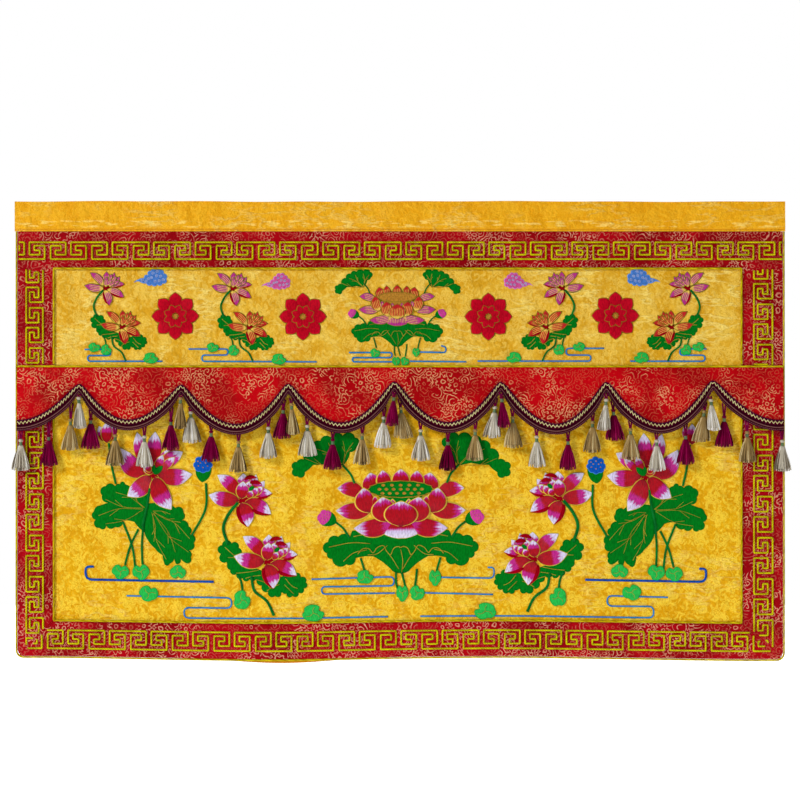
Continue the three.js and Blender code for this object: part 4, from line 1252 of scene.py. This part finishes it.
# Rosettes: four red flowers of eight petals in two rings
for x, z in ((-439, -224), (-190, -225), (172, -225), (420, -223)):
    spot = Spot(x, z, 1, 1)
    for ring, (count, begin, end, width, turn) in enumerate(((8, 15, 47, 28, 0), (8, 5, 24, 15, 22.5))):
        for k in range(count):
            angle = math.radians(turn + 360 * k / count)
            way = np.array((math.cos(angle), math.sin(angle)))
            petal("rosette", spot, 1 + ring, way * begin, way * end, width)
    petal("gold", spot, 3, (-4.5, 0), (4.5, 0), 9, belly=0.5, point=0.5)

for kind, patches in works.items():
    points, faces, stitches = [], [], []
    count = 0
    for patch_points, patch_faces, patch_stitches in patches:
        points.append(patch_points)
        faces += [tuple(corner + count for corner in face) for face in patch_faces]
        stitches.append(patch_stitches)
        count += len(patch_points)
    mesh = bpy.data.meshes.new(kind + "_embroidery")
    mesh.from_pydata(np.vstack(points).tolist(), [], faces)
    stitch_marks = mesh.attributes.new("stitch", "FLOAT_VECTOR", "POINT")
    stitch_marks.data.foreach_set("vector", np.vstack(stitches).ravel())
    mesh.materials.append(SILKS[kind])
    mesh.shade_smooth()
    sewn = bpy.data.objects.new(kind + "_embroidery", mesh)
    bpy.context.scene.collection.objects.link(sewn)
    deselect()
    bpy.context.view_layer.objects.active = sewn
    backing = sewn.modifiers.new("backing", "SOLIDIFY")
    backing.thickness = SHELL
    backing.offset = -1
    bpy.ops.object.modifier_apply(modifier=backing.name)
    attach(sewn, "root")

LINES = (
    ("gold_vein_cord", gold_runs,
     twisted("gold couching cord", tone(214, 176, 60), tone(130, 96, 16), 0.002)),
    ("green_stem_cord", green_runs,
     twisted("green stem silk", tone(10, 126, 46), tone(0, 78, 26), 0.002)),
    ("water_cord", water_runs,
     twisted("light blue water cord", tone(34, 142, 214), tone(10, 98, 178), 0.002)),
    ("thick_water_cord", thick_water_runs,
     twisted("deep blue water cord", tone(14, 88, 190), tone(0, 48, 134), 0.002)),
    ("cloud_spiral_cord", spiral_runs,
     twisted("pale spiral cord", tone(206, 214, 246), tone(150, 170, 226), 0.002)),
)
for name, runs, finish in LINES:
    line = one_piece(name, runs, finish)
    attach(line, "root")


# The valance
# One strip of bright crimson brocade sewn under the seam piping and cut to eight scallops, of which
# the outer two are halves. It stands off the panel a little and is creased at both ends.

Scallop = namedtuple("Scallop", "low foot cusp peak")
SCALLOPS = (
    Scallop(-0.742, -0.427, -0.6246, -0.357),
    Scallop(-0.530, -0.426, -0.4265, -0.358),
    Scallop(-0.320, -0.434, -0.2181, -0.356),
    Scallop(-0.115, -0.431, -0.0115, -0.352),
    Scallop(0.093, -0.431, 0.1959, -0.353),
    Scallop(0.304, -0.434, 0.401, -0.353),
    Scallop(0.507, -0.432, 0.6086, -0.350),
    Scallop(0.736, -0.426, 0.860, -0.350),
)
SCALLOP_POWER = 1.9
CUSP_ROUND = 0.16
SEAM_UNDER = SEAM - PIPING - GAP
STAND = 0.005
STAND_FALL = 0.012
BELLY = 0.003
VALANCE_DEPTH = 0.11
BRAID_OVER_CLOTH = 0.012
BRAID_GAP = 0.0008
BRAID_CLOTH = 0.0026
BRAID = 0.021
CUSP_PINCH = 0.28
PINCH_REACH = 0.014

Fold = namedtuple("Fold", "x slope height reach")
FOLDS = (
    Fold(-0.725, 0.5, 0.0024, 0.014),
    Fold(-0.680, 0.6, 0.0016, 0.012),
    Fold(0.655, 0.5, 0.0018, 0.012),
    Fold(0.730, -0.6, 0.0026, 0.014),
)
# Small creases in the cloth alone, most of them at the two ends
CRUMPLES = (
    Crease(-0.746, -0.329, -0.690, -0.351, 0.0030, 0.0045),
    Crease(-0.747, -0.356, -0.684, -0.344, 0.0026, 0.0040),
    Crease(-0.746, -0.377, -0.655, -0.369, 0.0034, 0.0050),
    Crease(-0.746, -0.394, -0.672, -0.386, 0.0028, 0.0045),
    Crease(-0.700, -0.332, -0.641, -0.353, 0.0028, 0.0045),
    Crease(-0.690, -0.396, -0.645, -0.364, 0.0022, 0.0050),
    Crease(-0.600, -0.352, -0.560, -0.385, 0.0012, 0.0060),
    Crease(-0.536, -0.412, -0.500, -0.380, 0.0014, 0.0060),
    Crease(-0.350, -0.400, -0.290, -0.375, 0.0012, 0.0080),
    Crease(-0.100, -0.400, -0.050, -0.360, 0.0012, 0.0080),
    Crease(0.110, -0.390, 0.160, -0.350, 0.0012, 0.0080),
    Crease(0.300, -0.400, 0.370, -0.360, 0.0012, 0.0080),
    Crease(0.480, -0.400, 0.560, -0.365, 0.0014, 0.0080),
    Crease(0.600, -0.348, 0.668, -0.330, 0.0020, 0.0045),
    Crease(0.610, -0.354, 0.706, -0.371, 0.0034, 0.0065),
    Crease(0.636, -0.376, 0.722, -0.390, 0.0034, 0.0065),
    Crease(0.655, -0.393, 0.736, -0.402, 0.0024, 0.0050),
    Crease(0.696, -0.410, 0.746, -0.402, 0.0022, 0.0045),
    Crease(0.700, -0.372, 0.747, -0.350, 0.0018, 0.0060),
)


def swing(share):
    reach = math.hypot(1, CUSP_ROUND) - CUSP_ROUND
    return 1 - (np.hypot(1 - share**SCALLOP_POWER, CUSP_ROUND) - CUSP_ROUND) / reach


def braid_head(x):
    """The height of the braid's upper edge."""
    x = np.asarray(x, float)
    head = np.zeros_like(x)
    first = SCALLOPS[0]
    before = Scallop(0, 0, 2 * first.low - first.cusp, first.peak)
    for scallop in SCALLOPS:
        rise = np.clip((x - scallop.low) / (scallop.cusp - scallop.low), 0, 1)
        fall = np.clip((scallop.low - x) / (scallop.low - before.cusp), 0, 1)
        rising = scallop.foot + (scallop.peak - scallop.foot) * swing(rise)
        falling = scallop.foot + (before.peak - scallop.foot) * swing(fall)
        head = np.where((x > scallop.low) & (x <= scallop.cusp), rising, head)
        head = np.where((x <= scallop.low) & (x > before.cusp), falling, head)
        before = scallop
    return head


edge_x = np.linspace(-0.79, 0.79, 6000)
edge_line = np.stack([edge_x, braid_head(edge_x)], axis=1)
edge_run = np.concatenate([[0], np.cumsum(np.linalg.norm(np.diff(edge_line, axis=0), axis=1))])
even_run = np.linspace(0, edge_run[-1], 1300)
even_edge = np.stack([np.interp(even_run, edge_run, edge_line[:, i]) for i in (0, 1)], axis=1)


def below_edge(x, distance):
    """The height at which a place under the braid's upper edge is at a distance from it, less where
    the braid is drawn together at a cusp."""
    near_cusp = [np.exp(-(((x - scallop.cusp) / PINCH_REACH) ** 2)) for scallop in SCALLOPS]
    distance = distance * (1 - CUSP_PINCH * np.max(near_cusp, axis=0))
    high = braid_head(x)
    low = high - 0.09
    for _ in range(16):
        middle = (high + low) / 2
        places = np.stack([x, middle], axis=1)
        near = np.full(len(x), 9.0)
        for start in range(0, len(even_edge), 325):
            some = even_edge[start:start + 325]
            near = np.minimum(near, np.linalg.norm(places[:, None] - some[None], axis=2).min(axis=1))
        far = near > distance
        low = np.where(far, middle, low)
        high = np.where(far, high, middle)
    return (high + low) / 2


def fold_lift(x, below):
    return sum(fold.height * np.exp(-(((x - fold.x - fold.slope * below) / fold.reach) ** 2))
               for fold in FOLDS)


def valance_lift(x, z):
    """How far the valance's back hangs in front of the panels' back."""
    below = np.maximum(0, SEAM_UNDER - z)
    fade = np.sin(math.pi * np.minimum(1, below / (SEAM_UNDER - braid_head(x))))
    stand = CLOTH + GAP + STAND * (1 - np.exp(-below / STAND_FALL)) + BELLY * below / VALANCE_DEPTH
    return stand + fold_lift(x, below) * fade


def valance_place(u, v):
    x = EDGE * (2 * u - 1)
    z = SEAM_UNDER + (braid_head(x) - BRAID_OVER_CLOTH - SEAM_UNDER) * v
    return x, z, valance_lift(x, z) + crease_lift(x, z, CRUMPLES) + CLOTH


valance = lay_cloth("valance_cloth", 420, 34, valance_place, CLOTH)
valance.data.materials.append(brocade("valance brocade", tone(184, 0, 14), tone(150, 0, 8),
                                      tone(210, 104, 72), tone(232, 172, 122)))
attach(valance, "root")
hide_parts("valance")


# The braid
# A woven band on the valance's lower edge, with picots on both sides, a cream cord that zigzags
# near its upper edge, a groove darkened with painted shade, and below it a dark maroon band with
# two pale beaded rows.

BRAID_PLACES = 620
RIB_PITCH = 0.0021
braid_run = np.linspace(np.interp(-EDGE, edge_line[:, 0], edge_run),
                        np.interp(EDGE, edge_line[:, 0], edge_run), BRAID_PLACES + 1)


def braid_face(x, z):
    return valance_lift(x, np.maximum(z, braid_head(x))) + CLOTH + BRAID_GAP + BRAID_CLOTH


def braid_place(u, v):
    x = np.interp(np.interp(u, np.linspace(0, 1, BRAID_PLACES + 1), braid_run), edge_run, edge_line[:, 0])
    z = below_edge(x, BRAID * v)
    return x, z, braid_face(x, z)


def braid_marks(u, v):
    return np.stack([braid_run[0] + u * (braid_run[-1] - braid_run[0]), v * BRAID, 0 * u], axis=1)


braid = lay_cloth("braid_band", BRAID_PLACES, 6, braid_place, BRAID_CLOTH, marks=braid_marks)
tree, shader, woven = new_finish("braid weave", roughness=0.7, specular=0.1, gloss=tone(130, 40, 60))
marks = add(tree, "Attribute", {}, attribute_name="marks").outputs["Vector"]
run, across, _ = add(tree, "SeparateXYZ", {0: marks}).outputs
rib_waves = reckon(tree, "SINE", reckon(tree, "MULTIPLY", run, 2 * math.pi / RIB_PITCH))
ribs = reckon(tree, "MULTIPLY_ADD", rib_waves, 0.5, 0.5)
lower_band = band(tree, across, 0.0162, 0.0040)
groove = band(tree, across, 0.0112, 0.0014)
rows = reckon(tree, "FRACT", reckon(tree, "MULTIPLY", across, 1 / 0.0042))
pale_rows = reckon(tree, "MULTIPLY", lower_band, band(tree, rows, 0.5, 0.2))
dark_web = blend(tree, ribs, tone(48, 0, 14), tone(88, 6, 34))
colour = blend(tree, lower_band, dark_web, tone(56, 2, 20))
speckle = reckon(tree, "MULTIPLY_ADD", ribs, 0.65, 0.12)
colour = blend(tree, reckon(tree, "MULTIPLY", pale_rows, speckle), colour, tone(166, 122, 112))
# Painted shade: the groove between the zigzag and the lower band is darkened as well as sunk in the bump
colour = blend(tree, reckon(tree, "MULTIPLY", groove, 0.8), colour, tone(28, 0, 14))
tree.links.new(colour, shader.inputs["Base Color"])
emboss(tree, shader, reckon(tree, "SUBTRACT", ribs, groove), 0.0006)
braid.data.materials.append(woven)


def trim_line(middle, swing_out, pitch, steps):
    """A line along the braid that swings to and fro across it, at a mean distance from its edge."""
    turns = round((braid_run[-1] - braid_run[0] - 0.004) / pitch)
    share = np.linspace(0, 1, turns * steps + 1)
    run = braid_run[0] + 0.002 + share * (braid_run[-1] - braid_run[0] - 0.004)
    x = np.interp(run, edge_run, edge_line[:, 0])
    saw = 1 - 4 * np.abs(share * turns % 1 - 0.5)
    return x, below_edge(x, middle + swing_out * saw)


TrimCord = namedtuple("TrimCord", "name middle swing_out pitch steps radius proud finish")
TRIM_CORDS = (
    TrimCord("braid_zigzag_cord", 0.0052, 0.0022, 0.0075, 4, 0.0009, 0.0008,
             twisted("cream silk cord", tone(232, 222, 164), tone(170, 152, 96), 0.003)),
    TrimCord("braid_upper_picots", 0.0010, 0.0009, 0.0042, 4, 0.0008, 0.0003,
             twisted("plum picot thread", tone(92, 14, 64), tone(38, 0, 24), 0.002)),
    TrimCord("braid_lower_picots", BRAID - 0.0010, 0.0009, 0.0042, 4, 0.0008, 0.0003,
             twisted("maroon picot thread", tone(92, 24, 58), tone(44, 2, 26), 0.002)),
)
for kind in TRIM_CORDS:
    x, z = trim_line(kind.middle, kind.swing_out, kind.pitch, kind.steps)
    route = hang(x, z, braid_face(x, z) + kind.proud)
    trim = one_piece(kind.name, [cord(route, kind.radius, sides=5)], kind.finish)
    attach(trim, "root")
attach(braid, "root")
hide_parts("braid")


# The tassels
# Forty tassels of rayon thread, silver, maroon and gold in turn, sewn behind the braid by a loop of
# maroon cord. Each has a knotted head, a neck bound in grey-green thread and a skirt of threads.

STRANDS = 126
LOCKS = 15
STRAND = 0.00062
LOOP_CORD = 0.0018
KNOT_HEIGHT = 0.006
NECK_HEIGHT = 0.006
SKIRT_HEIGHT = 0.051
SKIRT_DEPTH = 0.0066


def turned_ring(profile, finish, sides=10):
    """A closed form turned on an upright axis from rows of radius and height, top first."""
    angles = 2 * math.pi * np.arange(sides) / sides
    points, faces, wraps = [], [], []
    for radius, height in profile:
        points += [(radius * math.cos(a), radius * math.sin(a), height) for a in angles]
    for i in range(len(profile) - 1):
        for j in range(sides):
            k = (j + 1) % sides
            faces.append((i * sides + j, (i + 1) * sides + j, (i + 1) * sides + k, i * sides + k))
            wraps += [(0.5, 0.1)] * 4
    last = (len(profile) - 1) * sides
    faces += [tuple(range(sides)), tuple(last + j for j in reversed(range(sides)))]
    wraps += [(0.5, 0.1)] * (2 * sides)
    return np.array(points), faces, wraps, finish


def strand(route, radius, tint):
    """One thread of three sides, whose UV holds its own lightness, from painted shade to painted
    highlight, and the place along it.
    """
    points, faces, wraps, finish = cord(route, radius, sides=3)
    length = max(u for u, _ in wraps)
    return points, faces, [(tint, u / length) for u, _ in wraps], finish


def make_tassel(name, node, draws, finishes):
    shell = np.array([v.co[:] for v in bpy.data.objects[node].data.vertices])
    top, foot = shell[:, 2].max(), shell[:, 2].min()
    head = shell[shell[:, 2] > top - 0.004].mean(axis=0)
    hem = shell[shell[:, 2] < foot + 0.004]
    hem_middle = (hem.min(axis=0) + hem.max(axis=0)) / 2
    half_width = (hem[:, 0].max() - hem[:, 0].min()) / 2
    front = shell[:, 1].min()
    back = hem[:, 1].max()
    neck_foot = foot + SKIRT_HEIGHT
    knot_head = neck_foot + NECK_HEIGHT + KNOT_HEIGHT
    ahead = (front + back) / 2
    half_depth = min(SKIRT_DEPTH, (back - front) / 2)

    def axis(z):
        """The middle of the tassel at a height."""
        share = np.clip((top - z) / (top - foot), 0, 1)
        lean = np.clip((top - z) / (top - knot_head), 0, 1)
        return np.stack([head[0] + (hem_middle[0] - head[0]) * share,
                         head[1] + (ahead - head[1]) * lean, z], axis=-1)

    parts = []
    for way in (-1, 1):
        heights = np.linspace(top - 0.001, knot_head - 0.001, 5)
        legs = axis(heights)
        legs[:, 0] += way * np.linspace(0.0032, 0.0007, 5)
        parts.append(cord(legs, LOOP_CORD, sides=6, finish=2))
    knot = ((0.0018, 0.0), (0.0040, -0.0012), (0.0047, -0.003), (0.0039, -0.0048), (0.0028, -0.006))
    neck = ((0.0028, -0.0056), (0.0034, -0.0065), (0.0030, -0.0075), (0.0034, -0.0085), (0.0030, -0.0095),
            (0.0034, -0.0105), (0.0030, -0.0120))
    core = ((0.0022, -0.0110), (0.0040, -0.0150), (0.0060, -0.0260), (0.0085, -0.0400), (0.0095, -0.0560))
    # The knot and the core sit 0.1 along the thread, so they take its painted shade; the core's shows in the
    # gaps between the locks
    for profile, finish in ((knot, 0), (neck, 1), (core, 0)):
        points, faces, wraps, number = turned_ring(profile, finish)
        if profile is core:
            points[:, 0] *= half_width / 0.0125
            points[:, 1] *= half_depth / 0.0125
        shift = axis(knot_head + points[:, 2])
        points = np.stack([points[:, 0] + shift[:, 0], points[:, 1] + shift[:, 1], shift[:, 2]], axis=1)
        parts.append((points, faces, wraps, number))
    share = np.linspace(0, 1, 6)
    # Each lock's strands share most of their lightness, so the skirt shows streaks of painted shade and
    # painted highlight
    locks = [draws.random() for _ in range(LOCKS)]
    for k in range(STRANDS):
        angle = 2 * math.pi * (k * 0.618034 % 1)
        number = int(angle / (2 * math.pi) * LOCKS) % LOCKS
        lock = locks[number]
        angle += 0.7 * ((number + 0.5) / LOCKS * 2 * math.pi - angle)
        out = 0.88 + 0.12 * draws.random() if k % 3 else 0.6 * draws.random()
        end = foot + 0.004 * draws.random() ** 2 + 0.003 * (out * math.cos(angle)) ** 2 + STRAND
        start = neck_foot + 0.001
        flare = 0.4 * share + 0.6 * np.sin(share * math.pi / 2)
        spread = 0.14 + (1 - 0.14) * flare
        heights = start + (end - start) * share
        route = axis(heights)
        sway = 0.0012 * (draws.random() - 0.5)
        route[:, 0] += (half_width - STRAND) * out * math.cos(angle) * spread + sway * np.sin(share * 5)
        route[:, 1] += (half_depth - STRAND) * out * math.sin(angle) * spread
        radii = STRAND * np.array([0.7, 1, 1.05, 1.05, 1, 0.8])
        parts.append(strand(route, radii, 0.55 * lock + 0.45 * draws.random()))
    return one_piece(name, parts, *finishes)


# A tassel thread's finish: its dark and light tones are painted shade and painted highlight round its own
# middle colour, and its strands darken with painted shade towards the neck
def tassel_thread(name, dark, middle, light, roughness=0.34):
    tree, shader, finish = new_finish(name, roughness=roughness, specular=0.6, gloss=light)
    tint, along, _ = add(tree, "SeparateXYZ", {0: add(tree, "UVMap", {}).outputs[0]}).outputs
    colour = blend(tree, step(tree, tint, 0.3, 0.52), dark, middle)
    colour = blend(tree, step(tree, tint, 0.5, 0.8), colour, light)
    shaded = reckon(tree, "SUBTRACT", 1.0, step(tree, along, 0.0, 0.35))
    colour = blend(tree, reckon(tree, "MULTIPLY", shaded, 0.45), colour, dark)
    tree.links.new(colour, shader.inputs["Base Color"])
    streaks = mottle(tree, cloth_places(tree), 300, 2.0)
    emboss(tree, shader, streaks, 0.0002)
    return finish


binding = twisted("neck binding thread", tone(94, 116, 84), tone(44, 60, 40), 0.001)
loop_cord = twisted("maroon loop cord", tone(134, 4, 70), tone(60, 0, 28), 0.003)
# Thread colours: dark is painted shade, middle is the thread's own colour, light is painted highlight
TASSEL_THREADS = (
    ("tassel_silver", tassel_thread("silver tassel thread", tone(92, 76, 54), tone(202, 194, 174),
                                    tone(246, 244, 240))),
    ("tassel_maroon", tassel_thread("maroon tassel thread", tone(34, 0, 12), tone(112, 0, 48),
                                    tone(152, 16, 78))),
    ("tassel_gold", tassel_thread("gold tassel thread", tone(72, 50, 20), tone(162, 132, 80),
                                  tone(222, 204, 156))),
)
TASSELS = 40
draws = random.Random(7)
for k in range(TASSELS):
    slot, thread = TASSEL_THREADS[k % 3]
    node = f"tassel_{k + 1:02d}"
    tassel = make_tassel(node + "_threads", node, draws, (thread, binding, loop_cord))
    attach(tassel, "root")
    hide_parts(node)


# The room
# A plain white floor under the hanging, white all round, and soft light from the upper left.

FLOOR = -1.02
FLOOR_WIDTH = 9
FLOOR_DEPTH = 5
bpy.ops.mesh.primitive_plane_add(size=1, location=(0, 0, FLOOR))
room = bpy.context.object
room.name = "white_floor"
room.scale = (FLOOR_WIDTH, FLOOR_DEPTH, 1)
bpy.ops.object.transform_apply(location=True, rotation=False, scale=True)
tree, shader, white = new_finish("white paper", roughness=0.9, specular=0.1)
shader.inputs["Base Color"].default_value = (0.93, 0.93, 0.93, 1)
shader.inputs["Emission Color"].default_value = (1, 1, 1, 1)
shader.inputs["Emission Strength"].default_value = 0.75
room.data.materials.append(white)


def soft_light(name, place, aim, size, power):
    deselect()
    bpy.ops.object.light_add(type="AREA", location=place)
    lamp = bpy.context.object
    lamp.name = name
    lamp.data.size = size
    lamp.data.energy = power
    toward = [a - b for a, b in zip(aim, place)]
    flat_reach = math.hypot(toward[0], toward[1])
    pitch = math.atan2(flat_reach, -toward[2])
    lamp.rotation_euler = (pitch, 0, math.atan2(toward[1], toward[0]) - math.pi / 2)
    return lamp


MIDDLE = (0, 0, -0.45)
soft_light("key light", (-6.5, -5.5, 4.7), MIDDLE, 2.0, 765)
soft_light("fill light", (2.6, -2.8, 0.2), MIDDLE, 2.5, 14)
soft_light("back light", (0.5, 3.0, 1.2), MIDDLE, 2.0, 80)
world = bpy.data.worlds.new("pale room")
bpy.context.scene.world = world
world.use_nodes = True
ROOM_GLOW = 0.14
tree = world.node_tree
seen = add(tree, "LightPath", {}).outputs["Is Camera Ray"]
glow = reckon(tree, "MULTIPLY_ADD", seen, 1 - ROOM_GLOW, ROOM_GLOW)
tree.nodes["Background"].inputs["Color"].default_value = (1, 1, 1, 1)
tree.links.new(glow, tree.nodes["Background"].inputs["Strength"])
bpy.context.scene.view_settings.view_transform = "Standard"

LENS = 100
VIEW_WIDTH = 1.5624
SENSOR = 36
VIEW_X = -0.0004
VIEW_Z = -0.3877
bpy.ops.object.camera_add(location=(VIEW_X, -VIEW_WIDTH * LENS / SENSOR, VIEW_Z),
                          rotation=(math.pi / 2, 0, 0))
camera = bpy.context.object
camera.data.lens = LENS
camera.data.sensor_width = SENSOR
bpy.context.scene.camera = camera
